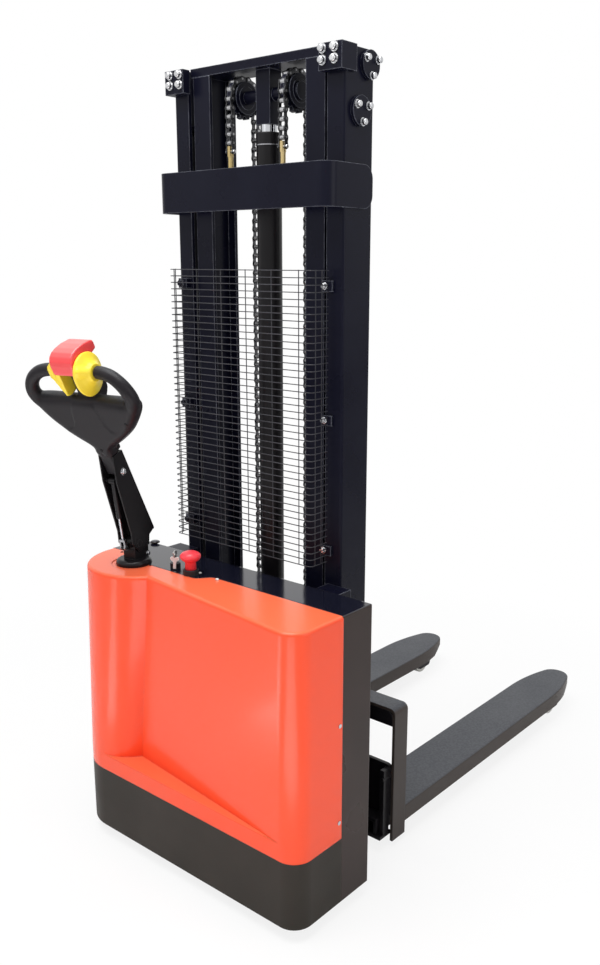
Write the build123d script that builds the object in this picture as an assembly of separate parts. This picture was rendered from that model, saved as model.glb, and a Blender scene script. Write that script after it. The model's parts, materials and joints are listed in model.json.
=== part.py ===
from build123d import *
from math import asin, atan2, cos, degrees, hypot, radians, sin, sqrt
import os

os.makedirs("parts", exist_ok=True)

# Body: X to the operator's right, Y towards the forks, Z up from the floor.
body_width = 800
half = body_width / 2
body_rear = -262
cover_joint = -103
body_front = 0
skirt_bottom = 35
skirt_top = 204
deck_top = 754
left_corner = 115
lobe_corner = 147
right_corner = 50
rim_round = 8
fold_round = 3
sheet = 6
base_thickness = 8
cover_wall = 4
ledge_height = 249
panel_depth = 56
tongue_depth = 35
tongue_left = 100 - half
tongue_right = 350 - half
s_curve_end = 400 - half

# Fits between parts that move and parts that are joined.
moving_gap = 0.3
running_gap = 0.05
sheet_gap = 0.5

# Mast.
mast_front = 50
mast_depth = 102
mast_outer = 268
outer_web = 10
outer_flange = 10
outer_lip = 219
mast_top = 1955
inner_front = 57
inner_depth = 88
inner_near = 152
inner_far = 207
inner_web_near = 175
inner_web = 8
inner_flange = 9
inner_bottom = 60
inner_top = mast_top - 15
crosshead_height = 20
mast_centre = mast_front + mast_depth / 2

# Lift cylinder, chain wheels and chains.
wheel_height = inner_top - 54
wheel_offset = 84
pitch_radius = 44
wheel_teeth = 13
wheel_width = 12
chain_width = 22
chain_thickness = 13
anchor_height = wheel_height - 111
post_bottom = wheel_height - 66
gland_top = post_bottom - 17
barrel_top = gland_top - 28
barrel_radius = 30
barrel_bore = 24
rod_radius = 20
shelf_top = 245

# Rollers and thrust pads at the mast head.
top_roller_height = mast_top - 128
top_axle = 12
thrust_height = mast_top - 31
thrust_y = mast_front + 82
pad_radius = 9

# Brace, guard and brackets on the mast.
brace_front = -12
brace_top = mast_top - 237
brace_bottom = brace_top - 94
brace_reach = 145
brace_round = 30
guard_half = 234
guard_bottom = deck_top + 53
guard_top = brace_bottom - 133
guard_wire = 3
guard_rows = 43
guard_columns = 6
guard_return = 45
clamp_inset = 42
bracket_thickness = 22
bracket_top = mast_top + 2
bracket_bottom = bracket_top - 54

# Support legs, carriage and forks.
beam_bottom = 37
beam_top = 45
fork_inner = 190
fork_outer = 340
fork_top = 102
fork_bottom = 55
fork_wall = 8
tip_taper = 220
tip_side_radius = 600
nose_length = 90
nose_edge = 14
leg_gap = 20
leg_wall = 10
leg_top = 90
leg_start = 155
load_roller_radius = 38
load_roller_reach = 1180
leg_end = load_roller_reach + 60
fork_tip = load_roller_reach + 138
load_axle = 10
carriage_plane = 190
carriage_plate = 10
carriage_bottom = 70
lower_plate_top = 239
upper_plate_bottom = 350
backrest_top = 398
backrest_bottom = 20
backrest_end = 247

# Steering, drive wheel, caster and tiller.
steer_x = 145 - half
steer_y = -150
steer_rest = 12
drive_radius = 90
drive_width = 62
turntable_radius = 98
collar_radius = 45
pivot_height = deck_top + 55
tilt_rest = 19
caster_x = -steer_x
caster_radius = 62.5
caster_trail = 35
head_lean = 8.3
head_y = 5
head_z = 260
bar_height = 230
bar_y = 6
loop_radius = 17

middle_aligned = (Align.CENTER, Align.CENTER, Align.MIN)


def block(x0, x1, y0, y1, z0, z1):
    centre = Pos((x0 + x1) / 2, (y0 + y1) / 2, (z0 + z1) / 2)
    return centre * Box(abs(x1 - x0), abs(y1 - y0), abs(z1 - z0))


def upright(x, y, z0, z1, radius):
    return Pos(x, y, z0) * Cylinder(radius, z1 - z0, align=middle_aligned)


def across(x0, x1, y, z, radius):
    return Pos(x0, y, z) * Rot(0, 90, 0) * Cylinder(radius, x1 - x0, align=middle_aligned)


def along(x, y0, y1, z, radius):
    return Pos(x, y0, z) * Rot(-90, 0, 0) * Cylinder(radius, y1 - y0, align=middle_aligned)


def flip(shape):
    return mirror(shape, about=Plane.YZ)


def bolt(radius, height):
    head = Cylinder(radius, height, align=middle_aligned)
    head = fillet(head.edges().group_by(Axis.Z)[-1], radius * 0.45)
    washer = Cylinder(radius * 1.3, height * 0.2, align=middle_aligned)
    return head + washer


def save(node, *shapes):
    solids = []
    for shape in shapes:
        solids.extend(shape.solids())
    export_step(Compound(solids) if len(solids) > 1 else solids[0], f"parts/{node}.step")


# Plan of the rear body behind the joint line, drawn in by a wall thickness.
def body_plan(inset):
    left = -half + inset
    right = half - inset
    rear = body_rear + inset
    outline = Polyline((left, cover_joint), (left, rear), (right, rear), (right, cover_joint), close=True)
    plan = make_face(outline)
    plan = fillet(plan.vertices().sort_by(Axis.Y)[:2].sort_by(Axis.X)[0], left_corner - inset)
    return fillet(plan.vertices().sort_by(Axis.Y)[:2].sort_by(Axis.X)[-1], right_corner - inset)


skirt = extrude(body_plan(0) - body_plan(sheet), skirt_top - skirt_bottom)
save("skirt", Pos(0, 0, skirt_bottom) * skirt)

plate_bottom = skirt_top - base_thickness
front_inner = body_front - sheet
base_face = body_plan(sheet)
deck_depth = front_inner - cover_joint
base_face += Pos(0, cover_joint + deck_depth / 2) * Rectangle(body_width - 2 * sheet, deck_depth)
base_face -= Pos(steer_x, steer_y) * Circle(turntable_radius)
caster_pin = 12
base_face -= Pos(caster_x, steer_y) * Circle(caster_pin + running_gap)
save("base_plate", Pos(0, 0, plate_bottom) * extrude(base_face, base_thickness))


# Room left in the cover for the deck tongue that carries the switches.
def tongue(grow):
    near = cover_joint + 1
    deep = cover_joint - tongue_depth - grow
    curve_middle = (tongue_right + s_curve_end) / 2 + grow
    curve_end = s_curve_end + grow
    s_curve = Bezier(
        (tongue_right + grow, deep),
        (curve_middle, deep),
        (curve_middle, cover_joint),
        (curve_end, cover_joint),
    )
    rest = Polyline(
        (curve_end, cover_joint),
        (curve_end, near),
        (tongue_left - grow, near),
        (tongue_left - grow, deep),
        (tongue_right + grow, deep),
    )
    return make_face(Wire([*s_curve.edges(), *rest.edges()]))


frame_sheet = block(-half, half, cover_joint, body_front, skirt_bottom, deck_top)
frame_sheet -= block(-half + sheet, half - sheet, cover_joint, body_front, skirt_bottom, deck_top - sheet)
top_edges = frame_sheet.edges().filter_by(Axis.Y).group_by(Axis.Z)[-1]
frame_sheet = fillet(top_edges, fold_round)
frame_sheet += Pos(0, 0, deck_top - sheet) * extrude(tongue(0), sheet)
column_hole = upright(steer_x, steer_y, skirt_top, deck_top + sheet, collar_radius + moving_gap)
frame_sheet -= column_hole
save("frame_sheet", frame_sheet)

front_wall = block(-half + sheet, half - sheet, front_inner, body_front, beam_bottom, deck_top - sheet)
save("front_wall", front_wall)


# Cover plan above the ledge: steering lobe, flat slanting panel and right corner.
def cover_plan(lobe, inset):
    left = -half + inset
    right = half - inset
    lobe_x = lobe - half
    lobe_y = body_rear + lobe
    corner_x = half - right_corner
    corner_y = body_rear + right_corner
    crease_x = lobe_x + sqrt(lobe**2 - (lobe - panel_depth) ** 2)
    crease_y = body_rear + panel_depth
    reach = hypot(corner_x - crease_x, corner_y - crease_y)
    slant = atan2(corner_y - crease_y, corner_x - crease_x) - asin(right_corner / reach)
    run_x, run_y = cos(slant), sin(slant)
    start_x = crease_x - inset * run_y - lobe_x
    start_y = crease_y + inset * run_x - lobe_y
    forward = start_x * run_x + start_y * run_y
    step = sqrt(forward**2 - start_x**2 - start_y**2 + (lobe - inset) ** 2) - forward
    foot = (lobe_x + start_x + step * run_x, lobe_y + start_y + step * run_y)
    bend = right_corner - inset
    turn = (corner_x + bend * run_y, corner_y - bend * run_x)
    outline = [
        Line((left, cover_joint), (left, lobe_y)),
        ThreePointArc((left, lobe_y), (lobe_x, body_rear + inset), foot),
        Line(foot, turn),
        ThreePointArc(turn, (corner_x + bend * sqrt(0.5), corner_y - bend * sqrt(0.5)), (right, corner_y)),
        Polyline((right, corner_y), (right, cover_joint), (left, cover_joint)),
    ]
    return make_face([edge for piece in outline for edge in piece.edges()])


# Rear cover: a hollow shell whose lobe grows rounder from the ledge to the deck.
def cover_solid(inset, bottom, top):
    ledge = ledge_height - inset
    growth = (lobe_corner - left_corner) / (deck_top - ledge_height)
    band = Pos(0, 0, bottom) * extrude(body_plan(inset), ledge - bottom)
    low = Pos(0, 0, ledge) * cover_plan(left_corner - growth * inset, inset)
    high = Pos(0, 0, top) * cover_plan(lobe_corner - growth * (deck_top - top), inset)
    return band + loft([low, high], ruled=True)


ring_recess = collar_radius + 12
cover = cover_solid(0, skirt_top, deck_top)
rim = cover.edges().group_by(Axis.Z)[-1].filter_by(lambda edge: edge.center().Y < cover_joint - 5)
cover = fillet(rim, rim_round)
hollow = cover_solid(cover_wall, skirt_top - 1, deck_top - cover_wall)
cover -= hollow
cover -= Pos(0, 0, deck_top - 40) * extrude(tongue(sheet_gap), 60)
cover -= upright(steer_x, steer_y, deck_top - 2, deck_top + 1, ring_recess)
cover -= column_hole
save("rear_cover", cover)

# Floor beam, support legs and mast rails.
beam_half = fork_outer - fork_wall - 4
floor_beam = block(-beam_half, beam_half, body_front, leg_start + beam_top, beam_bottom, beam_top)
for near, far in ((mast_outer + 7, beam_half), (-beam_half, -mast_outer - 7)):
    floor_beam -= block(near, far, body_front, leg_start - 5, beam_bottom, beam_top)
save("floor_beam", floor_beam)

leg_inner = fork_inner + fork_wall + leg_gap
leg_outer = fork_outer - fork_wall - leg_gap
lug_reach = 40
lug_bottom = 22
right_leg = block(leg_inner, leg_outer, leg_start, leg_end, beam_top, leg_top)
right_leg -= block(leg_inner + leg_wall, leg_outer - leg_wall, leg_start, leg_end - leg_wall,
                   beam_top, leg_top - leg_wall)
for wall in (leg_inner, leg_outer - leg_wall):
    lug = block(wall, wall + leg_wall, load_roller_reach - lug_reach, load_roller_reach + lug_reach,
                lug_bottom, beam_top)
    right_leg += fillet(lug.edges().filter_by(Axis.X).group_by(Axis.Z)[0], lug_reach * 0.4)
right_leg += across(leg_inner, leg_outer, load_roller_reach, load_roller_radius, load_axle)
tip_edges = right_leg.edges().filter_by(Axis.Z).group_by(Axis.Y)[-1]
right_leg = fillet(tip_edges, 30)
save("right_support_leg", right_leg)
save("left_support_leg", flip(right_leg))

roller_near = leg_inner + leg_wall + 1
roller_far = leg_outer - leg_wall - 1
load_roller = across(roller_near, roller_far, load_roller_reach, load_roller_radius, load_roller_radius)
load_roller = fillet(load_roller.edges(), 3)
load_roller -= across(leg_inner, leg_outer, load_roller_reach, load_roller_radius, load_axle + running_gap)
save("load_rollers", load_roller, flip(load_roller))

mast_back = mast_front + mast_depth
outer_rail = block(outer_lip, mast_outer, mast_front, mast_back, beam_top, mast_top)
outer_rail -= block(
    outer_lip, mast_outer - outer_web, mast_front + outer_flange, mast_back - outer_flange, beam_top, mast_top
)
outer_rail = fillet(outer_rail.edges().filter_by(Axis.Z).group_by(Axis.X)[-1], 6)
outer_rail -= across(0, mast_outer + 1, mast_centre, top_roller_height, top_axle)
outer_rail -= across(0, mast_outer + 1, thrust_y, thrust_height, pad_radius)
save("right_outer_rail", outer_rail)
save("left_outer_rail", flip(outer_rail))

inner_back = inner_front + inner_depth
inner_web_far = inner_web_near + inner_web
inner_rail = block(inner_near, inner_far, inner_front, inner_back, inner_bottom, inner_top)
for side in ((inner_near, inner_web_near), (inner_web_far, inner_far)):
    inner_rail -= block(*side, inner_front + inner_flange, inner_back - inner_flange, inner_bottom, inner_top)
stub_radius = 15
mast_roller_height = 150
mast_roller_near = 224
mast_roller_far = 254
inner_rail += across(inner_web_far, mast_roller_far + 2, mast_centre, mast_roller_height, stub_radius)
save("right_inner_rail", inner_rail)
save("left_inner_rail", flip(inner_rail))


# Rollers turning on stub axles, in left and right pairs on one line.
def roller_pair(node, near, far, height, radius, bore):
    roller = fillet(across(near, far, mast_centre, height, radius).edges(), 2)
    roller -= across(near - 1, far + 1, mast_centre, height, bore)
    save(node, roller, flip(roller))


outer_channel = mast_depth / 2 - outer_flange
inner_channel = inner_depth / 2 - inner_flange
roller_radius = inner_channel - moving_gap
roller_pair("mast_rollers", mast_roller_near, mast_roller_far, mast_roller_height,
            outer_channel - moving_gap, stub_radius + running_gap)
roller_pair("top_rollers", inner_web_far + 3, inner_far - 2, top_roller_height,
            roller_radius, top_axle + running_gap)
carriage_rollers = {"lower_carriage_rollers": 120, "upper_carriage_rollers": 330}
carriage_roller_near = inner_near + 1.5
carriage_roller_far = inner_web_near - 1.5
for node, height in carriage_rollers.items():
    roller_pair(node, carriage_roller_near, carriage_roller_far, height,
                roller_radius, stub_radius + running_gap)

# Brace strap bent round both rails, with the chain anchor shelf behind it.
brace_outer = mast_outer + sheet
brace = block(-brace_outer, brace_outer, brace_front, brace_reach, brace_bottom, brace_top)
brace = fillet(brace.edges().filter_by(Axis.Z).group_by(Axis.Y)[0], brace_round)
brace_hollow = block(-mast_outer, mast_outer, brace_front + sheet, brace_reach, brace_bottom, brace_top)
brace -= fillet(brace_hollow.edges().filter_by(Axis.Z).group_by(Axis.Y)[0], brace_round - sheet)
brace = fillet(brace.edges().filter_by(Axis.X).group_by(Axis.Y)[-1], brace_round)
chain_front = mast_centre - pitch_radius
chain_back = mast_centre + pitch_radius
shelf_bottom = brace_bottom + 24
shelf_thickness = 10
shelf_end = chain_front + 12
barrel_room = mast_centre - barrel_radius - 25
anchor_shelf = block(-wheel_offset - 24, wheel_offset + 24, brace_front + sheet, shelf_end,
                     shelf_bottom, shelf_bottom + shelf_thickness)
anchor_shelf -= block(24 - wheel_offset, wheel_offset - 24, barrel_room, shelf_end,
                      shelf_bottom, shelf_bottom + shelf_thickness)
anchor_rod = 6
for side in (-wheel_offset, wheel_offset):
    anchor_shelf -= upright(side, chain_front, shelf_bottom, shelf_bottom + shelf_thickness, anchor_rod)
save("mast_brace", brace + anchor_shelf)


# Threaded chain anchor with an eye at the top and two nuts on the shelf.
def chain_anchor(side):
    rod = upright(side, chain_front, shelf_bottom - 18, anchor_height - 16, anchor_rod)
    rod += block(side - 4, side + 4, chain_front - anchor_rod, chain_front + anchor_rod,
                 anchor_height - 24, anchor_height)
    rod += across(side - 11, side + 11, chain_front, anchor_height - 12, 3)
    for seat in (shelf_bottom - 10, shelf_bottom + shelf_thickness):
        rod += Pos(side, chain_front, seat) * extrude(RegularPolygon(11, 6), 10)
    return rod


save("chain_anchors", chain_anchor(-wheel_offset), chain_anchor(wheel_offset))


# Chain run: solid links away from the wheel, side plates only beside its teeth.
def chain_strand(side, y, bottom, top):
    near = y - chain_thickness / 2
    far = y + chain_thickness / 2
    reach = wheel_height - pitch_radius - chain_thickness
    run = block(side - chain_width / 2, side + chain_width / 2, near, far, bottom, top)
    slot = wheel_width / 2 + sheet_gap
    return run - block(side - slot, side + slot, near, far, reach, top)


wheel_sides = (-wheel_offset, wheel_offset)
front_top = wheel_height - moving_gap
save("front_chains", *[chain_strand(side, chain_front, anchor_height, front_top) for side in wheel_sides])
rear_bottom = shelf_top + moving_gap
save("rear_chains", *[chain_strand(side, chain_back, rear_bottom, wheel_height) for side in wheel_sides])


# Side plates of the chain lying over a wheel.
def chain_wrap(side):
    ring = across(side - chain_width / 2, side + chain_width / 2, mast_centre, wheel_height,
                  pitch_radius + chain_thickness / 2)
    ring -= across(side - chain_width, side + chain_width, mast_centre, wheel_height,
                   pitch_radius - chain_thickness / 2)
    slot = wheel_width / 2 + sheet_gap
    ring -= block(side - slot, side + slot, 0, 2 * mast_centre, wheel_height - 100, wheel_height + 100)
    above = block(side - chain_width, side + chain_width, 0, 2 * mast_centre,
                  wheel_height, wheel_height + 100)
    return ring & above


save("chain_wraps", *[chain_wrap(side) for side in wheel_sides])

# Chain wheels turning on one shaft through the crosshead post.
shaft_radius = 12
hub_radius = 26
flange_disc = 3
flange_rim = pitch_radius - 7
flange_near = chain_width / 2 + sheet_gap
hub_half = flange_near + flange_disc + 1


def chain_wheel(side):
    tip = pitch_radius + 3
    wheel = Cylinder(tip, wheel_width)
    for tooth in range(wheel_teeth):
        turn = Rot(0, 0, tooth * 360 / wheel_teeth)
        wheel -= turn * Pos(pitch_radius + 1.5, 0, 0) * Cylinder(5.6, wheel_width)
    wheel += Cylinder(hub_radius, 2 * hub_half)
    for near in (flange_near, -flange_near - flange_disc):
        wheel += Pos(0, 0, near) * Cylinder(flange_rim, flange_disc, align=middle_aligned)
    wheel -= Cylinder(shaft_radius + running_gap, 3 * hub_half)
    return Pos(side, mast_centre, wheel_height) * Rot(0, 90, 0) * wheel


save("chain_wheels", *[chain_wheel(side) for side in wheel_sides])

post_half = 22
keeper_near = wheel_offset + hub_half + 1
keeper_far = keeper_near + 4
spacer = wheel_offset - post_half - hub_half - 1
crosshead_half = outer_lip - 3
crosshead = block(-crosshead_half, crosshead_half, inner_front, inner_back,
                  inner_top, inner_top + crosshead_height)
crosshead += block(-post_half, post_half, mast_centre - 20, mast_centre + 20, post_bottom, inner_top)
crosshead += across(-keeper_far, keeper_far, mast_centre, wheel_height, shaft_radius)
for near, far in ((keeper_near, keeper_far), (-keeper_far, -keeper_near)):
    crosshead += across(near, far, mast_centre, wheel_height, 20)
for near in (post_half, -post_half - spacer):
    crosshead += across(near, near + spacer, mast_centre, wheel_height, 15)
save("mast_crosshead", crosshead)

tie_height = 80
inner_tie = block(-inner_near, inner_near, inner_front, inner_front + 7,
                  inner_bottom, inner_bottom + tie_height)
save("inner_tie", inner_tie)

piston_bottom = 380
piston_length = 40
piston_rod = upright(0, mast_centre, piston_bottom, post_bottom, rod_radius)
piston_rod += upright(0, mast_centre, piston_bottom, piston_bottom + piston_length, barrel_bore - running_gap)
save("piston_rod", piston_rod)

barrel = upright(0, mast_centre, beam_top, barrel_top, barrel_radius)
barrel -= upright(0, mast_centre, beam_top + 15, barrel_top, barrel_bore)
save("cylinder_barrel", barrel)
gland = upright(0, mast_centre, barrel_top, gland_top, barrel_radius + 1)
gland = fillet(gland.edges().group_by(Axis.Z)[-1], 3)
gland -= upright(0, mast_centre, barrel_top, gland_top, rod_radius + running_gap)
save("cylinder_gland", gland)

# Corner brackets at the mast head and gussets at its foot.
bracket_side = mast_outer + 8
bracket_face = mast_front - bracket_thickness
corner_bracket = block(outer_lip - 7, bracket_side, bracket_face, mast_front, bracket_bottom, bracket_top)
corner_bracket += block(mast_outer, bracket_side, mast_front, mast_front + 30, bracket_bottom, bracket_top)
gusset_near = mast_outer - 38
gusset_far = mast_outer + 32
gusset_top = deck_top - 2
gusset = block(gusset_near, gusset_far, body_front, mast_front, gusset_top - 30, gusset_top)
gusset -= block(gusset_near + 10, gusset_far - 10, body_front, mast_front, gusset_top - 30, gusset_top - 10)
save("mast_brackets", corner_bracket, flip(corner_bracket), gusset, flip(gusset))

# Bolted flanges that carry the top roller axles and the side thrust pads.
flange_radius = 32
flange_thickness = 8
flange_face = mast_outer + flange_thickness
roller_flange = across(mast_outer, flange_face, mast_centre, top_roller_height, flange_radius)
roller_flange += across(inner_web_far + 2, mast_outer, mast_centre, top_roller_height, top_axle)
thrust_flange = across(mast_outer, flange_face, thrust_y, thrust_height, flange_radius - 2)
thrust_flange += across(inner_far + moving_gap, mast_outer, thrust_y, thrust_height, pad_radius)
save("roller_flanges", roller_flange, flip(roller_flange), thrust_flange, flip(thrust_flange))

# Zinc bolts on the brackets, flanges and cover edge.
bolt_radius = 8
bolt_height = 12
flange_bolt_circle = 23
bolts = []
for x in (outer_lip + 5, mast_outer - 11):
    for z in (bracket_bottom + 20, bracket_top - 11):
        front_bolt = Pos(x, bracket_face, z) * Rot(90, 0, 0) * bolt(bolt_radius, bolt_height)
        bolts += [front_bolt, flip(front_bolt)]
for y, z in ((mast_centre, top_roller_height), (thrust_y, thrust_height)):
    for turn in (30, 150, 270):
        offset_y = flange_bolt_circle * cos(radians(turn))
        offset_z = flange_bolt_circle * sin(radians(turn))
        seat = Pos(flange_face, y + offset_y, z + offset_z)
        side_bolt = seat * Rot(0, 90, 0) * bolt(bolt_radius - 1, bolt_height)
        bolts += [side_bolt, flip(side_bolt)]
screw_line = cover_joint - 11
for z in (skirt_top + 46, deck_top - 259):
    side_screw = Pos(half, screw_line, z) * Rot(0, 90, 0) * Cylinder(5, 2, align=middle_aligned)
    bolts += [side_screw, flip(side_screw)]
bolts.append(Pos(s_curve_end + 12, cover_joint - 8, deck_top) * Cylinder(5, 2, align=middle_aligned))
save("frame_bolts", *bolts)

# Wire guard between operator and mast: a net with both sides turned back to the rails.
def net(width, height, columns):
    gap_width = (width - (columns + 1) * guard_wire) / columns
    gap_height = (height - (guard_rows + 1) * guard_wire) / guard_rows
    places = GridLocations(gap_width + guard_wire, gap_height + guard_wire, columns, guard_rows)
    gaps = [(place * Rectangle(gap_width, gap_height)).wire() for place in places]
    face = Face(Rectangle(width, height).wire(), gaps)
    return Rot(90, 0, 0) * Pos(0, 0, -guard_wire / 2) * extrude(face, guard_wire, dir=(0, 0, 1))


guard_height = guard_top - guard_bottom
guard_middle = guard_bottom + guard_height / 2
front_net = Pos(0, 0, guard_middle) * net(2 * guard_half, guard_height, guard_columns)
return_start = guard_wire / 2
return_place = Pos(guard_half - guard_wire / 2, return_start + guard_return / 2, guard_middle)
side_net = return_place * Rot(0, 0, 90) * net(guard_return, guard_height, 1)
save("mesh_guard", front_net, side_net, flip(side_net))

clamp_half = 12
clamp_start = mast_front - 14
clamps = []
for z in (guard_bottom + clamp_inset, guard_middle, guard_top - clamp_inset):
    clamp = block(guard_half, guard_half + 2 * clamp_half, clamp_start, mast_front,
                  z - clamp_half, z + clamp_half)
    clamp += along(guard_half + clamp_half, clamp_start - 8, clamp_start, z, 7)
    clamps += [clamp, flip(clamp)]
save("guard_clamps", *clamps)

# Carriage: side plates with roller stubs, cross plates, chain shelf and backrest.
plate_near = 128
plate_far = 140
plate_start = 66
carriage_top = backrest_top - fork_wall
carriage = block(plate_near, plate_far, plate_start, carriage_plane, carriage_bottom, carriage_top)
for height in carriage_rollers.values():
    carriage += across(plate_far, carriage_roller_far + 1, mast_centre, height, stub_radius)
carriage += flip(carriage)
cross_half = fork_outer - fork_wall
corner_round = 18
plate_back = carriage_plane + carriage_plate
for bottom, top in ((fork_top - fork_wall, lower_plate_top), (upper_plate_bottom, carriage_top)):
    plate = block(-cross_half, cross_half, carriage_plane, plate_back, bottom, top)
    carriage += fillet(plate.edges().filter_by(Axis.Y).group_by(Axis.Z)[-1], corner_round)
carriage += block(-plate_near, plate_near, chain_back - 5, carriage_plane, shelf_top - 10, shelf_top)
cheek_far = cross_half - 5
for near, far in ((leg_outer + 2, cheek_far), (-cheek_far, -leg_outer - 2)):
    carriage += block(near, far, carriage_plane - 25, carriage_plane, beam_top + 1, lower_plate_top - 8)
carriage += along(cross_half - 7, carriage_plane - 31, carriage_plane, lower_plate_top - 31, 4.6)
save("carriage_frame", carriage)

backrest = block(-fork_outer, fork_outer, carriage_plane, backrest_end, backrest_bottom, backrest_top)
backrest = fillet(backrest.edges().filter_by(Axis.Y).group_by(Axis.Z)[-1], corner_round - 2)
hollow = block(-cross_half, cross_half, carriage_plane, backrest_end, backrest_bottom, carriage_top)
backrest -= fillet(hollow.edges().filter_by(Axis.Y).group_by(Axis.Z)[-1], corner_round - fork_wall - 2)
save("carriage_backrest", backrest)


# Fork plan: straight sides, long side arcs at the tip and a round nose, all tangent.
def fork_plan(inset):
    centre = (fork_inner + fork_outer) / 2
    width = fork_outer - centre
    taper_start = fork_tip - tip_taper
    reach = tip_side_radius - width
    nose = (2 * tip_side_radius * width - width**2 - tip_taper**2) / (2 * (tip_side_radius - tip_taper))
    turn = atan2(tip_taper - nose, reach)
    bend = tip_side_radius - inset
    outline = []
    ends = []
    for side in (1, -1):
        swing = []
        for angle in (0, turn / 2, turn):
            swing.append((centre + side * (bend * cos(angle) - reach), taper_start + bend * sin(angle)))
        outline.append(Line((centre + side * (width - inset), plate_back), swing[0]))
        outline.append(ThreePointArc(*swing))
        ends.append(swing[-1])
    outline.append(ThreePointArc(ends[0], (centre, fork_tip - inset), ends[1]))
    outline.append(Line((centre - width + inset, plate_back), (centre + width - inset, plate_back)))
    return make_face([edge for piece in outline for edge in piece.edges()])


def fork_solid(inset, bottom):
    return Pos(0, 0, bottom) * extrude(fork_plan(inset), fork_top - inset - bottom)


nose_cut = make_face(Polyline(
    (fork_tip - nose_length, fork_bottom),
    (fork_tip + 1, fork_bottom),
    (fork_tip + 1, fork_top - nose_edge),
    close=True,
))
nose_cut = Plane.YZ * nose_cut
right_fork = fork_solid(0, fork_bottom)
fork_rim = right_fork.edges().group_by(Axis.Z)[-1].filter_by(lambda edge: edge.center().Y > plate_back + 1)
right_fork = fillet(fork_rim, 5)
right_fork -= fork_solid(fork_wall, fork_bottom - 1)
right_fork -= block(fork_inner + fork_wall, fork_outer - fork_wall, plate_back - 1, plate_back + 20,
                    fork_bottom - 1, fork_top - fork_wall)
right_fork -= block(cross_half, fork_outer, plate_back - 1, backrest_end, fork_bottom - 1, fork_top)
right_fork -= extrude(nose_cut, fork_outer + 1)
save("right_fork", right_fork)
save("left_fork", flip(right_fork))

# Drive unit under the steering column, turned with the tiller.
steer_place = Pos(steer_x, steer_y, 0) * Rot(0, 0, steer_rest)
turntable_bottom = plate_bottom - 14
turntable_top = skirt_top + moving_gap + 10
motor_top = 460
cheek_near = drive_width / 2 + 4
cheek_far = cheek_near + 9
drive_axle = 14
turntable = upright(0, 0, turntable_bottom, skirt_top + moving_gap, turntable_radius - running_gap)
turntable += upright(0, 0, skirt_top + moving_gap, turntable_top, turntable_radius + 6)
for near, far in ((cheek_near, cheek_far), (-cheek_far, -cheek_near)):
    cheek = block(near, far, -34, 34, drive_radius - 30, turntable_bottom)
    turntable += fillet(cheek.edges().filter_by(Axis.X).group_by(Axis.Z)[0], 28)
turntable += across(-cheek_far - 5, cheek_far + 5, 0, drive_radius, drive_axle)
wheel_room = drive_width / 2 + 4
turntable -= block(-wheel_room, wheel_room, -70, 70, turntable_bottom, 2 * drive_radius + 8)
save("drive_fork", steer_place * turntable)

motor = upright(0, 0, turntable_top, motor_top, 70)
motor = fillet(motor.edges().group_by(Axis.Z)[-1], 8)
for fin in range(8):
    groove = upright(0, 0, turntable_top + 60 + fin * 18, turntable_top + 66 + fin * 18, 71)
    motor -= groove - upright(0, 0, turntable_top, motor_top, 66)
save("drive_motor", steer_place * motor)

wheel = fillet(across(-drive_width / 2, drive_width / 2, 0, drive_radius, drive_radius).edges(), 6)
wheel -= across(-drive_width, drive_width, 0, drive_radius, drive_axle + running_gap)
save("drive_wheel", steer_place * wheel)

lug_half = 18
pivot_pin = 9
ear_y = -36
ear_drop = 6
ear_pin = 4
ear_half = 4
ear_height = pivot_height - ear_drop
column_top = deck_top + 13
block_top = pivot_height - 16
column = upright(0, 0, motor_top, motor_top + 10, 60)
column += upright(0, 0, motor_top, deck_top - 10, 30)
collar = upright(0, 0, deck_top - 12, column_top, collar_radius)
column += fillet(collar.edges().group_by(Axis.Z)[-1], 10)
column += block(-lug_half, lug_half, -17, 38, column_top - 1, block_top)
column += block(-lug_half, lug_half, -16, 16, column_top, pivot_height)
column += across(-lug_half, lug_half, 0, pivot_height, 16)
column += across(-lug_half - 5, lug_half + 5, 0, pivot_height, pivot_pin)
column += block(-ear_half, ear_half, ear_y, -10, ear_height - 7, ear_height + 7)
column += across(-ear_half, ear_half, ear_y, ear_height, 7)
column += across(-11, 11, ear_y, ear_height, ear_pin)
save("steering_column", steer_place * column)

# Caster wheel at the other rear corner.
caster_place = Pos(caster_x, steer_y, 0)
caster_top = plate_bottom - moving_gap
caster = upright(0, 0, caster_top - 14, caster_top, 40)
caster += upright(0, 0, caster_top, skirt_top + 14, caster_pin)
caster += upright(0, 0, skirt_top + moving_gap, skirt_top + 12, 20)
for near, far in ((22, 28), (-28, -22)):
    arm = make_face(Polyline(
        (-30, caster_top - 14),
        (30, caster_top - 14),
        (20 - caster_trail, caster_radius - 16),
        (-20 - caster_trail, caster_radius - 16),
        close=True,
    ))
    caster += Pos(near, 0, 0) * extrude(Plane.YZ * arm, far - near)
caster += across(-32, 32, -caster_trail, caster_radius, 8)
save("caster_fork", caster_place * caster)
caster_wheel = fillet(across(-20, 20, -caster_trail, caster_radius, caster_radius).edges(), 6)
caster_wheel -= across(-30, 30, -caster_trail, caster_radius, 8 + running_gap)
save("caster_wheel", caster_place * caster_wheel)

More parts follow.
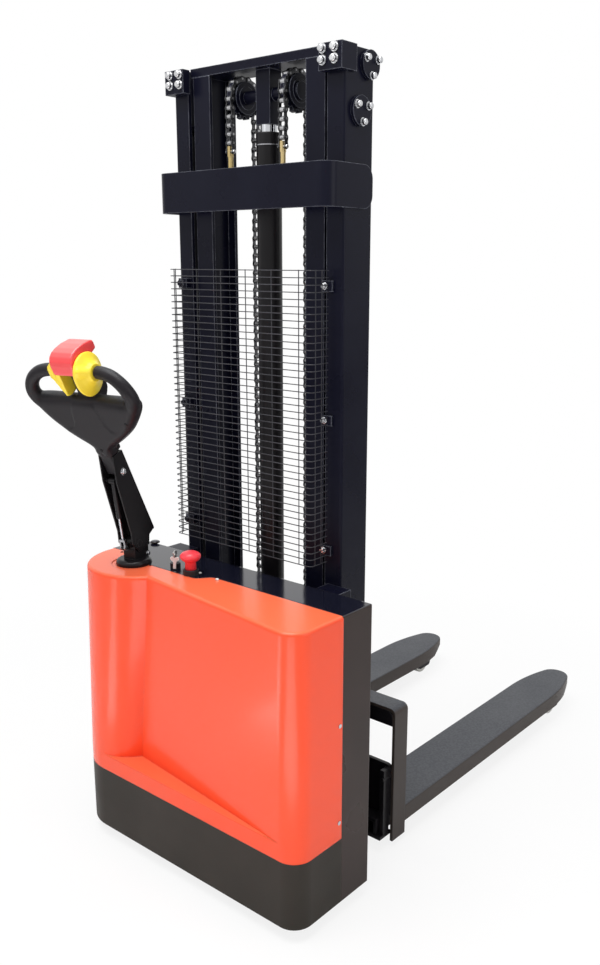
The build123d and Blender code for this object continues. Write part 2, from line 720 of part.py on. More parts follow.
# Parts under the cover: batteries, pump, oil tank and motor controller.
battery_top = 424
battery_bottom = skirt_top + 18
battery_rear = body_rear + 62
battery_front = front_inner - 32
battery_start = steer_x + turntable_radius + 37
battery_end = half - 20
battery_width = (battery_end - battery_start - 10) / 2
batteries = []
for x in (battery_start, battery_end - battery_width):
    cell = block(x, x + battery_width, battery_rear, battery_front, battery_bottom, battery_top)
    cell = fillet(cell.edges().filter_by(Axis.Z), 6)
    for y in (battery_rear + 5, battery_front - 25):
        cell += block(x + 10, x + battery_width - 10, y, y + 20, skirt_top, battery_bottom)
    for post in (x + 40, x + battery_width - 40):
        cell += upright(post, battery_front - 30, battery_top, battery_top + 14, 9)
    batteries.append(cell)
save("batteries", *batteries)
tank_bottom = skirt_top + 30
tank_top = deck_top - 234
tank_near = 20 - half
tank_far = 150 - half
oil_tank = block(tank_near, tank_far, front_inner - 60, front_inner, tank_bottom, tank_top)
oil_tank = fillet(oil_tank.edges().filter_by(Axis.Z), 10)
oil_tank += upright((tank_near + tank_far) / 2, front_inner - 30, tank_top, tank_top + 12, 16)
save("oil_tank", oil_tank)
pump_x = tank_far + 55
pump_y = front_inner - 40
pump_middle = tank_bottom + 76
pump = upright(pump_x, pump_y, tank_bottom, pump_middle, 36)
pump += upright(pump_x, pump_y, pump_middle, pump_middle + 120, 32)
pump += block(pump_x - 20, pump_x + 20, pump_y, front_inner, tank_bottom, pump_middle - 20)
save("pump_motor", pump)
controller_near = half - 250
controller_far = half - 50
controller_depth = 44
controller_bottom = battery_top + 36
controller_top = controller_bottom + 150
fins = 7
fin_pitch = (controller_far - controller_near) / (fins + 0.7)
controller = block(controller_near, controller_far, front_inner - controller_depth, front_inner,
                   controller_bottom, controller_top)
for fin in range(fins):
    groove = controller_near + (fin + 0.6) * fin_pitch
    controller -= block(groove, groove + fin_pitch / 2, front_inner - controller_depth,
                        front_inner - controller_depth + 16, controller_bottom, controller_top)
save("motor_controller", controller)

# Stop button and key switch on the deck tongue.
stop_x = 330 - half
stop_y = cover_joint - 19
stop_press = 8
stop_neck = 15
stop_base_top = deck_top + 14
stop_base = upright(stop_x, stop_y, deck_top, stop_base_top, 19)
stop_base = fillet(stop_base.edges().group_by(Axis.Z)[-1], 2)
stop_base -= upright(stop_x, stop_y, deck_top, stop_base_top, stop_neck + running_gap)
save("stop_base", stop_base)
stop_head = stop_base_top + stop_press + 10
stop_cap = upright(stop_x, stop_y, stop_head, stop_head + 28, 27)
stop_cap = fillet(stop_cap.edges().group_by(Axis.Z)[-1], 12)
stop_cap += Pos(stop_x, stop_y, stop_head - 6) * Cone(stop_neck, 26, 6, align=middle_aligned)
stop_cap += upright(stop_x, stop_y, deck_top + stop_press + 1, stop_head, stop_neck)
save("stop_button", stop_cap)
key_x = 263 - half
key_y = cover_joint - 10
key_slot = 5
key_switch = upright(key_x, key_y, deck_top, deck_top + 14, 12)
key_switch -= upright(key_x, key_y, deck_top + 4, deck_top + 14, key_slot + running_gap)
save("key_switch", key_switch)
key = upright(key_x, key_y, deck_top + 4 + moving_gap, deck_top + 18, key_slot)
key += block(key_x - 1.5, key_x + 1.5, key_y - 11, key_y + 11, deck_top + 18, deck_top + 40)
save("key", key)

# Tiller arm: a channel open to the operator, drawn upright about its tilt pivot.
tiller_place = Pos(steer_x, steer_y, pivot_height) * Rot(0, 0, steer_rest) * Rot(tilt_rest, 0, 0)
arm_outer = 23
arm_sheet = 3.5
arm_top = 256
arm_side = make_face(Polyline(
    (-27, 12),
    (-20, 42),
    (-18, 190),
    (-6, arm_top),
    (30, arm_top),
    (65, 7),
    (41, 0),
    (31, -23),
    (-10, -20),
    close=True,
))
arm_web = make_face(Polyline((65, 7), (61, 4), (26, arm_top), (30, arm_top), close=True))
arm = Pos(-arm_outer, 0, 0) * extrude(Plane.YZ * arm_side, arm_sheet)
arm += Pos(arm_outer - arm_sheet, 0, 0) * extrude(Plane.YZ * arm_side, arm_sheet)
arm += Pos(-arm_outer, 0, 0) * extrude(Plane.YZ * arm_web, 2 * arm_outer)
arm -= across(-arm_outer, arm_outer, 0, 0, pivot_pin + running_gap)
spring_y = -6
spring_z = 185
arm += across(-arm_outer, arm_outer, spring_y, spring_z, ear_pin)
save("tiller_arm", tiller_place * arm)

tiller_bolts = []
for side in (1, -1):
    tiller_bolts.append(Pos(side * arm_outer, 12, 205) * Rot(0, 90 * side, 0) * bolt(7, 7))
save("tiller_bolts", *[tiller_place * piece for piece in tiller_bolts])

# Tiller head leaning back from the arm: heart-shaped shell, neck and open hand loops.
head_place = tiller_place * Pos(0, head_y, head_z) * Rot(head_lean, 0, 0)
neck_half = arm_outer - arm_sheet
neck_bottom = spring_z + 11
head_middle = 2
head_depth = 24
heart_top = bar_height - 70
heart_points = [
    (24, 2),
    (30, heart_top * 0.09),
    (57, heart_top * 0.225),
    (85, heart_top * 0.345),
    (113, heart_top * 0.495),
    (137, heart_top * 0.655),
    (150, heart_top * 0.81),
    (142, heart_top * 0.94),
    (112, heart_top * 0.985),
    (60, heart_top),
]
heart = make_face(Polyline(*heart_points, *[(-x, z) for x, z in reversed(heart_points)], close=True))
head = Pos(0, head_middle + head_depth, 0) * extrude(Plane.XZ * heart, 2 * head_depth)
face_edges = head.edges().filter_by(lambda edge: abs(abs(edge.center().Y - head_middle) - head_depth) < 0.1)
head = fillet(face_edges.filter_by(lambda edge: edge.center().Z > 3), 12)
column_half = 26
column_back = 46
column_head = bar_height - 8
head += block(-column_half, column_half, 4, column_back, heart_top - 20, column_head)
guide_radius = 5
guide_lines = (24, 38)
for y in guide_lines:
    head -= upright(0, y, column_head - 40, column_head, guide_radius + running_gap)
strut_near = 64
strut_far = 74
bar_shaft = 9
for near, far in ((strut_near, strut_far), (-strut_far, -strut_near)):
    head += block(near, far, bar_y - 14, bar_y + 14, heart_top - 10, bar_height)
head += across(-strut_far, strut_far, bar_y, bar_height, bar_shaft)
rocker_y = column_back + 8
rocker_z = bar_height - 40
rocker_pin = 3
for near, far in ((15, 18), (-18, -15)):
    head += block(near, far, column_back - 1, rocker_y + 5, rocker_z - 6, rocker_z + 6)
head += across(-18, 18, rocker_y, rocker_z, rocker_pin)
neck = block(-neck_half, neck_half, -12, 17, neck_bottom, head_z + 8)
save("tiller_head", tiller_place * neck + head_place * head)


def hand_loop(side):
    path = FilletPolyline(
        (side * (strut_near + strut_far) / 2, bar_y, bar_height),
        (side * 140, bar_y, bar_height - 8),
        (side * 158, bar_y, bar_height - 70),
        (side * 132, bar_y, bar_height - 118),
        radius=38,
    )
    section = Plane(origin=path @ 0, z_dir=path % 0) * Circle(loop_radius)
    return sweep(section, path=path)


loops = []
for side in (1, -1):
    loops.append(hand_loop(side) - head)
save("hand_loops", *[head_place * loop for loop in loops])

# Controls in the head: belly button, throttle paddles and lift rocker.
button_half = 33
button_front = -27
button_back = 60
button_bottom = bar_height + 6
button_top = bar_height + 62
button_travel = 6
button_side = make_face(Polyline(
    (button_front, button_bottom),
    (button_front, button_top),
    (30, button_top),
    (button_back, button_top - 12),
    (button_back, button_bottom),
    close=True,
))
button = Pos(-button_half, 0, 0) * extrude(Plane.YZ * button_side, 2 * button_half)
button = fillet(button.edges().filter_by(Axis.X).group_by(Axis.Z)[-1].sort_by(Axis.Y)[0], 25)
shaft_room = bar_height + bar_shaft + button_travel + 3
button -= block(-button_half, button_half, bar_y - 12, bar_y + 12, button_bottom, shaft_room)
for y in guide_lines:
    button += upright(0, y, column_head - 30, button_bottom + 2, guide_radius)
save("belly_button", head_place * button)


def paddle(side):
    near = Plane(origin=(side * (button_half + 1.5), bar_y, bar_height), x_dir=(0, 1, 0), z_dir=(1, 0, 0))
    far = Plane(origin=(side * (strut_near - 1), bar_y, bar_height), x_dir=(0, 1, 0), z_dir=(1, 0, 0))
    wide = make_hull([*Circle(47).edges(), *(Pos(0, -36) * Circle(28)).edges()])
    narrow = make_hull([*Circle(20).edges(), *(Pos(0, -22) * Circle(15)).edges()])
    shape = loft([near * wide, far * narrow])
    return shape - across(-strut_near, strut_near, bar_y, bar_height, bar_shaft + running_gap)


save("throttle_paddles", *[head_place * paddle(side) for side in (1, -1)])

rocker = block(-14.5, 14.5, rocker_y - 5, rocker_y + 6, rocker_z - 15, rocker_z + 15)
rocker = fillet(rocker.edges().filter_by(Axis.X).group_by(Axis.Y)[-1], 5)
rocker -= across(-15, 15, rocker_y, rocker_z, rocker_pin + running_gap)
save("lift_rocker", head_place * rocker)

# Gas spring that brings the tiller back up: tube on the arm, rod on the column ear.
tilt = radians(tilt_rest)
ear_local_y = ear_y * cos(tilt) - ear_drop * sin(tilt)
ear_local_z = -ear_y * sin(tilt) - ear_drop * cos(tilt)
spring_length = hypot(ear_local_y - spring_y, ear_local_z - spring_z)
spring_lean = degrees(atan2(ear_local_y - spring_y, spring_z - ear_local_z))
spring_place = tiller_place * Pos(0, spring_y, spring_z) * Rot(spring_lean, 0, 0)
tube_length = 100
tube_radius = 6.5
spring_rod = 3
tube = upright(0, 0, -tube_length, -6, tube_radius)
tube += across(-9, 9, 0, 0, 8)
tube -= across(-9, 9, 0, 0, ear_pin + running_gap)
tube -= upright(0, 0, -tube_length, -14, spring_rod + running_gap)
save("gas_spring_tube", spring_place * tube)
rod_inside = 45
clevis = 18
rod = upright(0, 0, -spring_length + clevis, -tube_length + rod_inside, spring_rod)
clevis_half = 8.5
rod += block(-clevis_half, clevis_half, -5, 5, -spring_length + clevis - 1, -spring_length + clevis + 5)
for near, far in ((ear_half + moving_gap, clevis_half), (-clevis_half, -ear_half - moving_gap)):
    rod += block(near, far, -5, 5, -spring_length, -spring_length + clevis)
    rod += across(near, far, 0, -spring_length, 7)
    rod -= across(near, far, 0, -spring_length, ear_pin + running_gap)
save("gas_spring_rod", spring_place * rod)
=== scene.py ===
import bpy
import bmesh
import json
import math
from mathutils import Matrix, Vector


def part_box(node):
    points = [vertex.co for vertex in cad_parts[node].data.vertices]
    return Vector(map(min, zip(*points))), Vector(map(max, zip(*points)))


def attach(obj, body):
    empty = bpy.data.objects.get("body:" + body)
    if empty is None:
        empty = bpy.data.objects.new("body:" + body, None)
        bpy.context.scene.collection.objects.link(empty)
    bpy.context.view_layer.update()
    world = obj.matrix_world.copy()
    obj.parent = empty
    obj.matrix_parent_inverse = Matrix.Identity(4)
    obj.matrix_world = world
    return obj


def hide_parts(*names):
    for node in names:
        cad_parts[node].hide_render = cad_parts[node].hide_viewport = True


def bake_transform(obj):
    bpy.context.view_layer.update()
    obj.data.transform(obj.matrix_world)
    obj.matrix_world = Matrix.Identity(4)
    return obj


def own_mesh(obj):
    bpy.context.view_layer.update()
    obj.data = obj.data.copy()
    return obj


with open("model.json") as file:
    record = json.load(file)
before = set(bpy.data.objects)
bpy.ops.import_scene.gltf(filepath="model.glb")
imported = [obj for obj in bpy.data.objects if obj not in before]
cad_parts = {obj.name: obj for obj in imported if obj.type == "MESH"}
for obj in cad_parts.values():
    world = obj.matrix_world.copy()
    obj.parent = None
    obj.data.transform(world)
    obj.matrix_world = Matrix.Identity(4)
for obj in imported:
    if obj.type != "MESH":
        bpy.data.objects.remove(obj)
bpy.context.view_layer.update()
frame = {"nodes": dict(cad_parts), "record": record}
nodes = frame["nodes"]
print("stage: frame loaded")

scene = bpy.context.scene
scene.view_settings.view_transform = "Standard"

# Camera at the photograph's place and lens.
photoCamera = {"place": (1.605, -1.6338, 1.501), "azimuth": 39.709, "elevation": 13.768, "roll": 0.248,
               "lens": 35.218, "shiftX": -0.02187, "shiftY": 0.0148}


def cameraMatrix(spec):
    a = math.radians(spec["azimuth"])
    e = math.radians(spec["elevation"])
    back = Vector((math.sin(a) * math.cos(e), -math.cos(a) * math.cos(e), math.sin(e)))
    right = Vector((math.cos(a), math.sin(a), 0))
    up = back.cross(right)
    turn = Matrix((right, up, back)).transposed() @ Matrix.Rotation(math.radians(spec["roll"]), 3, "Z")
    return Matrix.Translation(spec["place"]) @ turn.to_4x4()


cameraData = bpy.data.cameras.new("photoCamera")
cameraData.sensor_fit = "AUTO"
cameraData.sensor_width = 36
cameraData.lens = photoCamera["lens"]
cameraData.shift_x = photoCamera["shiftX"]
cameraData.shift_y = photoCamera["shiftY"]
cameraData.clip_end = 60
camera = bpy.data.objects.new("photoCamera", cameraData)
camera.matrix_world = cameraMatrix(photoCamera)
scene.collection.objects.link(camera)
scene.camera = camera


# Node helpers for the procedural finishes.
def shaderTree(name):
    material = bpy.data.materials.new(name)
    material.use_nodes = True
    tree = material.node_tree
    surface = tree.nodes["Principled BSDF"]
    return material, tree, surface


def noiseNode(tree, scale, detail, source):
    noise = tree.nodes.new("ShaderNodeTexNoise")
    noise.inputs["Scale"].default_value = scale
    noise.inputs["Detail"].default_value = detail
    tree.links.new(source, noise.inputs["Vector"])
    return noise.outputs["Fac"]


def rampNode(tree, source, low, high, start=0.35, end=0.65):
    ramp = tree.nodes.new("ShaderNodeMapRange")
    ramp.inputs["From Min"].default_value = start
    ramp.inputs["From Max"].default_value = end
    ramp.inputs["To Min"].default_value = low
    ramp.inputs["To Max"].default_value = high
    tree.links.new(source, ramp.inputs["Value"])
    return ramp.outputs["Result"]


def mixColours(tree, factor, first, second):
    mix = tree.nodes.new("ShaderNodeMix")
    mix.data_type = "RGBA"
    for socket, colour in ((mix.inputs[6], first), (mix.inputs[7], second)):
        if isinstance(colour, tuple):
            socket.default_value = (*colour, 1)
        else:
            tree.links.new(colour, socket)
    tree.links.new(factor, mix.inputs[0])
    return mix.outputs[2]


def mathNode(tree, operation, first, second):
    node = tree.nodes.new("ShaderNodeMath")
    node.operation = operation
    for socket, value in zip(node.inputs, (first, second)):
        if isinstance(value, (int, float)):
            socket.default_value = value
        else:
            tree.links.new(value, socket)
    return node.outputs["Value"]


def mixShaders(tree, factor, first, second, output):
    mix = tree.nodes.new("ShaderNodeMixShader")
    for socket, source in zip(mix.inputs, (factor, first, second)):
        tree.links.new(source, socket)
    tree.links.new(mix.outputs["Shader"], tree.nodes[output].inputs["Surface"])


# Share of a face that looks up, from 0 on walls to 1 on level tops.
def upwardNode(tree, place):
    facing = tree.nodes.new("ShaderNodeSeparateXYZ")
    tree.links.new(place.outputs["Normal"], facing.inputs["Vector"])
    return rampNode(tree, facing.outputs["Z"], 0, 1, 0.45, 0.85)


# Normal that is rounded off near edges.
def bevelNode(tree, radius):
    soft = tree.nodes.new("ShaderNodeBevel")
    soft.samples = 6
    soft.inputs["Radius"].default_value = radius
    return soft.outputs["Normal"]


# Patchy mask along edges, where the rounded normal leaves the flat one.
def edgeNode(tree, radius, patch):
    shape = tree.nodes.new("ShaderNodeNewGeometry")
    match = tree.nodes.new("ShaderNodeVectorMath")
    match.operation = "DOT_PRODUCT"
    tree.links.new(bevelNode(tree, radius), match.inputs[0])
    tree.links.new(shape.outputs["Normal"], match.inputs[1])
    rounded = rampNode(tree, match.outputs["Value"], 1, 0, 0.72, 0.985)
    return mathNode(tree, "MULTIPLY", rounded, patch)


# What a finish has where its own entry says nothing.
plainFinish = {"mottle": 6, "grain": 900, "speckle": 160, "wearPatch": 34, "wearWidth": 0.003,
               "upperGloss": 1, "bump": 0.05, "bumpHeight": 0.001, "metal": 0, "coat": 0, "coatRough": 0.2,
               "specular": 0.5}


# One finish: near colours mottled together, uneven gloss, a fine grain, softened edges, painted light and
# shade on tops, and edges coloured by wear and painted highlight.
def makeFinish(name, own):
    spec = {**plainFinish, **own}
    material, tree, surface = shaderTree(name)
    place = tree.nodes.new("ShaderNodeTexCoord")
    spot = place.outputs["Object"]
    broad = noiseNode(tree, spec["mottle"], 4, spot)
    fine = noiseNode(tree, spec["grain"], 3, spot)
    colour = mixColours(tree, rampNode(tree, broad, 0, 1), spec["colour"], spec["second"])
    low, high = spec["rough"]
    gloss = rampNode(tree, broad, low, high, 0.3, 0.7)
    # Faces that look up take their own pair of colours: painted light and shade on tops.
    if "paintedTopLight" in spec:
        upward = upwardNode(tree, place)
        speckle = rampNode(tree, noiseNode(tree, spec["speckle"], 5, spot), 0, 1, 0.4, 0.6)
        colour = mixColours(tree, upward, colour, mixColours(tree, speckle, *spec["paintedTopLight"]))
        gloss = mathNode(tree, "MULTIPLY", gloss, rampNode(tree, upward, 1, spec["upperGloss"], 0, 1))
    # Edges take a colour of their own: painted highlight where it is lighter than the paint, wear where it
    # is darker.
    if "wear" in spec:
        patch = rampNode(tree, noiseNode(tree, spec["wearPatch"], 4, spot), 0.35, 1, 0.35, 0.6)
        colour = mixColours(tree, edgeNode(tree, spec["wearWidth"], patch), colour, spec["wear"])
    if "bright" in spec:
        mark = tree.nodes.new("ShaderNodeAttribute")
        mark.attribute_name = "bright"
        colour = mixColours(tree, mark.outputs["Fac"], colour, spec["bright"])
    tree.links.new(colour, surface.inputs["Base Color"])
    tree.links.new(gloss, surface.inputs["Roughness"])
    surface.inputs["Metallic"].default_value = spec["metal"]
    surface.inputs["Coat Weight"].default_value = spec["coat"]
    surface.inputs["Coat Roughness"].default_value = spec["coatRough"]
    surface.inputs["Specular IOR Level"].default_value = spec["specular"]
    if "upperSpecular" in spec:
        specular = rampNode(tree, upward, spec["specular"], spec["upperSpecular"], 0, 1)
        tree.links.new(specular, surface.inputs["Specular IOR Level"])
    bump = tree.nodes.new("ShaderNodeBump")
    bump.inputs["Strength"].default_value = spec["bump"]
    bump.inputs["Distance"].default_value = spec["bumpHeight"]
    tree.links.new(fine, bump.inputs["Height"])
    if "edge" in spec:
        tree.links.new(bevelNode(tree, spec["edge"]), bump.inputs["Normal"])
    tree.links.new(bump.outputs["Normal"], surface.inputs["Normal"])
    return material


finishes = {
    # The cover's lighter tops and ledge are painted light.
    "cover": {"colour": (0.91, 0.079, 0.024), "second": (0.895, 0.077, 0.023), "rough": (0.255, 0.27),
              "bump": 0.012, "specular": 0.22, "coat": 0.22, "coatRough": 0.14, "edge": 0.007,
              "mottle": 2.5, "paintedTopLight": ((0.93, 0.158, 0.066), (0.91, 0.15, 0.062)), "speckle": 5},
    # The skirt's lighter edges are painted highlight.
    "skirt": {"colour": (0.031, 0.0255, 0.0205), "second": (0.026, 0.022, 0.0175), "rough": (0.44, 0.54),
              "bump": 0.06, "specular": 0.18, "edge": 0.003, "wear": (0.05, 0.044, 0.038)},
    # The frame's lighter edges are painted highlight.
    "frame": {"colour": (0.006, 0.0052, 0.0065), "second": (0.009, 0.008, 0.0095), "rough": (0.26, 0.36),
              "bump": 0.03, "specular": 0.2, "edge": 0.002, "wear": (0.035, 0.033, 0.036)},
    # The panel's tops take a darker, bluer colour than its sides as painted light and shade, and its lighter
    # edges are painted highlight.
    "panel": {"colour": (0.034, 0.0215, 0.0185), "second": (0.028, 0.018, 0.0155), "rough": (0.26, 0.34),
              "bump": 0.01, "specular": 0.2, "edge": 0.004,
              "paintedTopLight": ((0.005, 0.0055, 0.013), (0.007, 0.0075, 0.015)), "upperGloss": 0.38,
              "upperSpecular": 0.6, "wear": (0.07, 0.06, 0.055)},
    # The mast's pale edges are painted highlight.
    "mast": {"colour": (0.0032, 0.0034, 0.0105), "second": (0.0052, 0.0055, 0.0135),
             "rough": (0.24, 0.34), "bump": 0.03, "specular": 0.11, "edge": 0.002,
             "wear": (0.2, 0.21, 0.25), "wearWidth": 0.0038},
    # The forks' lighter, speckled tops are a painted reflection; their dark edges are wear.
    "fork": {"colour": (0.032, 0.0235, 0.02), "second": (0.04, 0.03, 0.026), "rough": (0.38, 0.5),
             "bump": 0.06, "specular": 0.28, "edge": 0.003,
             "paintedTopLight": ((0.05, 0.053, 0.062), (0.07, 0.074, 0.084)), "wear": (0.012, 0.011, 0.012),
             "wearWidth": 0.004},
    "steel": {"colour": (0.3, 0.3, 0.32), "second": (0.38, 0.38, 0.4), "rough": (0.25, 0.4), "metal": 1},
    "chrome": {"colour": (0.5, 0.51, 0.54), "second": (0.56, 0.57, 0.59), "rough": (0.1, 0.16),
               "metal": 1, "bump": 0},
    "zinc": {"colour": (0.48, 0.49, 0.51), "second": (0.62, 0.62, 0.63), "rough": (0.16, 0.28),
             "metal": 1},
    "chain": {"colour": (0.055, 0.055, 0.06), "second": (0.1, 0.1, 0.105), "rough": (0.22, 0.38),
              "metal": 0.85, "mottle": 120, "bright": (0.42, 0.42, 0.43)},
    "brass": {"colour": (0.5, 0.38, 0.16), "second": (0.6, 0.47, 0.24), "rough": (0.3, 0.42), "metal": 1},
    "wire": {"colour": (0.03, 0.03, 0.036), "second": (0.042, 0.042, 0.05), "rough": (0.35, 0.5),
             "specular": 0.3},
    # The grip's lighter tops are painted sheen.
    "grip": {"colour": (0.0105, 0.0088, 0.011), "second": (0.0145, 0.0125, 0.015), "rough": (0.36, 0.46),
             "bump": 0.1, "specular": 0.17, "paintedTopLight": ((0.03, 0.031, 0.034), (0.038, 0.039, 0.043))},
    # The hood's paler tops are painted sheen.
    "red": {"colour": (0.84, 0.066, 0.072), "second": (0.8, 0.06, 0.066), "rough": (0.26, 0.32),
            "bump": 0.02, "specular": 0.4, "coat": 0.2, "coatRough": 0.3, "edge": 0.003,
            "paintedTopLight": ((0.85, 0.14, 0.135), (0.83, 0.13, 0.125)), "speckle": 20, "upperSpecular": 0.6},
    "stop": {"colour": (0.88, 0.055, 0.075), "second": (0.84, 0.05, 0.07), "rough": (0.28, 0.36),
             "bump": 0.02, "specular": 0.4, "edge": 0.003},
    "yellow": {"colour": (0.93, 0.73, 0.05), "second": (0.89, 0.68, 0.04), "rough": (0.3, 0.38),
               "bump": 0.03, "specular": 0.4, "edge": 0.002},
    "tyre": {"colour": (0.12, 0.045, 0.02), "second": (0.1, 0.04, 0.02), "rough": (0.5, 0.62)},
    "casing": {"colour": (0.01, 0.01, 0.012), "second": (0.015, 0.015, 0.017), "rough": (0.42, 0.56),
               "bump": 0.1, "specular": 0.3},
    "casting": {"colour": (0.035, 0.036, 0.042), "second": (0.05, 0.05, 0.055), "rough": (0.5, 0.65),
                "bump": 0.2},
    "nickel": {"colour": (0.62, 0.62, 0.6), "second": (0.72, 0.71, 0.69), "rough": (0.14, 0.26),
               "metal": 1},
    "nylon": {"colour": (0.74, 0.73, 0.69), "second": (0.7, 0.69, 0.65), "rough": (0.4, 0.5),
              "bump": 0.04},
    # Near-black painted shade for holes.
    "holeShade": {"colour": (0.005, 0.005, 0.006), "second": (0.008, 0.008, 0.009), "rough": (0.6, 0.7),
               "specular": 0.2},
    "screw": {"colour": (0.82, 0.82, 0.8), "second": (0.76, 0.76, 0.74), "rough": (0.3, 0.4)},
}
finish = {name: makeFinish(name + "Finish", spec) for name, spec in finishes.items()}

slotFinish = {
    "cover_orange": "cover", "skirt_dark": "skirt", "frame_black": "frame", "mast_black": "mast",
    "fork_grey": "fork", "machined_steel": "steel", "chrome_rod": "chrome", "zinc_bolts": "zinc",
    "chain_steel": "chain", "brass_anchor": "brass", "guard_wire": "wire", "head_plastic": "grip",
    "button_red": "red", "paddle_yellow": "yellow", "tyre_poly": "tyre", "inner_black": "casing",
    "motor_metal": "casting", "key_metal": "nickel",
}
nodeFinish = {
    "frame_sheet": "panel", "load_rollers": "nylon", "gas_spring_rod": "steel", "stop_button": "stop",
    "stop_base": "casing", "cylinder_barrel": "frame", "cylinder_gland": "frame", "carriage_frame": "frame",
}
for part in frame["record"]["subparts"]:
    mesh = nodes[part["node"]].data
    mesh.materials.clear()
    mesh.materials.append(finish[nodeFinish.get(part["node"], slotFinish[part["material_slot"]])])
print("stage: finishes")


# Mesh helpers: every piece is built in metres at its place, with its object at the origin.
def keepPiece(name, mesh, materialName, body, smooth=True):
    piece = bpy.data.objects.new(name, mesh)
    scene.collection.objects.link(piece)
    if not mesh.materials:
        mesh.materials.append(finish[materialName])
    if smooth:
        mesh.shade_smooth()
    if body:
        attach(piece, body)
    return piece


def meshFrom(name, build):
    shape = bmesh.new()
    build(shape)
    bmesh.ops.remove_doubles(shape, verts=shape.verts, dist=1e-6)
    bmesh.ops.recalc_face_normals(shape, faces=shape.faces)
    mesh = bpy.data.meshes.new(name)
    shape.to_mesh(mesh)
    shape.free()
    return mesh


# Rings of points joined into a skin, capped at both ends or closed on itself as a hoop.
def skinRings(shape, rings, hoop=False):
    rows = [[shape.verts.new(point) for point in ring] for ring in rings]
    count = len(rows[0])
    for low, high in zip(rows, rows[1:] + rows[:1] if hoop else rows[1:]):
        for i in range(count):
            j = (i + 1) % count
            shape.faces.new((low[i], low[j], high[j], high[i]))
    if not hoop:
        shape.faces.new(list(reversed(rows[0])))
        shape.faces.new(rows[-1])


def boxInto(shape, low, high):
    corners = [(low[0], low[1]), (high[0], low[1]), (high[0], high[1]), (low[0], high[1])]
    skinRings(shape, [[(x, y, low[2]) for x, y in corners], [(x, y, high[2]) for x, y in corners]])


# A turned form: (distance along the axis, radius) pairs spun about an axis at a point.
def turnedInto(shape, centre, axis, profile, sides):
    axis = Vector(axis).normalized()
    first = axis.orthogonal().normalized()
    second = axis.cross(first)
    rings = []
    for reach, radius in profile:
        ring = []
        for i in range(sides):
            a = 2 * math.pi * i / sides
            out = first * math.cos(a) + second * math.sin(a)
            ring.append(Vector(centre) + axis * reach + out * radius)
        rings.append(ring)
    skinRings(shape, rings)


# A turned piece that stands upright at a place.
def standingMesh(name, place, profile, sides):
    return meshFrom(name, lambda shape: turnedInto(shape, place, (0, 0, 1), profile, sides))


# A washer with a hexagon head on it, standing on a face, in shares of the bolt's height and radius.
boltSpec = {"sink": 0.0005, "washer": [(0.25, 1.25), (0.3, 1.15)], "washerSides": 20,
            "head": [(0.28, 1), (0.9, 1), (1, 0.84)], "headSides": 6}


def boltInto(shape, foot, axis, radius, height):
    washer = [(height * reach, radius * share) for reach, share in boltSpec["washer"]]
    head = [(height * reach, radius * share) for reach, share in boltSpec["head"]]
    turnedInto(shape, foot, axis, [(-boltSpec["sink"], washer[0][1]), *washer], boltSpec["washerSides"])
    turnedInto(shape, foot, axis, head, boltSpec["headSides"])


# Points on a smooth line through the given points.
def smoothLine(points, steps):
    line = [Vector(point) for point in points]
    line = [2 * line[0] - line[1], *line, 2 * line[-1] - line[-2]]
    result = []
    for i in range(1, len(line) - 2):
        p0, p1, p2, p3 = line[i - 1:i + 3]
        for k in range(steps):
            t = k / steps
            result.append(0.5 * (2 * p1 + (p2 - p0) * t + (2 * p0 - 5 * p1 + 4 * p2 - p3) * t * t
                                 + (3 * p1 - p0 - 3 * p2 + p3) * t ** 3))
    result.append(line[-2])
    return result


def tubeInto(shape, path, radii, side, sides=20):
    rings = []
    for i, point in enumerate(path):
        ahead = (path[min(i + 1, len(path) - 1)] - path[max(i - 1, 0)]).normalized()
        first = Vector(side)
        second = ahead.cross(first).normalized()
        ring = []
        for k in range(sides):
            a = 2 * math.pi * k / sides
            ring.append(point + (first * math.cos(a) + second * math.sin(a)) * radii[i])
        rings.append(ring)
    skinRings(shape, rings)


# The evaluated carrier as a plain mesh, without the carrier.
def plainMesh(name, carrier):
    result = bpy.data.meshes.new_from_object(carrier.evaluated_get(bpy.context.evaluated_depsgraph_get()))
    result.name = name
    bpy.data.objects.remove(carrier)
    return result


# Geometry Nodes helpers: a tree with named inputs, run on a piece and kept as a plain mesh.
def newTree(name, inputs):
    tree = bpy.data.node_groups.new(name, "GeometryNodeTree")
    tree.interface.new_socket(name="Geometry", in_out="INPUT", socket_type="NodeSocketGeometry")
    for label, kind in inputs.items():
        tree.interface.new_socket(name=label, in_out="INPUT", socket_type="NodeSocket" + kind)
    tree.interface.new_socket(name="Geometry", in_out="OUTPUT", socket_type="NodeSocketGeometry")
    return tree, tree.nodes.new("NodeGroupInput"), tree.nodes.new("NodeGroupOutput")


def closeTree(tree, leave, geometry, enter):
    link = tree.links.new
    realize = tree.nodes.new("GeometryNodeRealizeInstances")
    paint = tree.nodes.new("GeometryNodeSetMaterial")
    link(geometry, realize.inputs["Geometry"])
    link(realize.outputs["Geometry"], paint.inputs["Geometry"])
    link(enter.outputs["Finish"], paint.inputs["Material"])
    link(paint.outputs["Geometry"], leave.inputs["Geometry"])


def runTree(name, mesh, tree, values):
    carrier = bpy.data.objects.new(name + "Carrier", mesh)
    scene.collection.objects.link(carrier)
    modifier = carrier.modifiers.new(name, "NODES")
    modifier.node_group = tree
    for socket in tree.interface.items_tree:
        if socket.in_out == "INPUT" and socket.name in values:
            modifier[socket.identifier] = values[socket.name]
    return plainMesh(name, carrier)


# Guard: bent row wires stacked up the mast, with upright wires behind them.
guardSpec = {"left": -0.236, "right": 0.229, "front": -0.014, "back": 0.0455, "bend": 0.009, "bendSteps": 4,
             "bottom": 0.8085, "rows": 44, "pitch": 0.015852, "radius": 0.0012, "sides": 6,
             "uprights": (-0.221, -0.139, -0.057, 0.025, 0.107, 0.19), "sideUprights": (0.004, 0.026),
             "overhang": 0.0015}


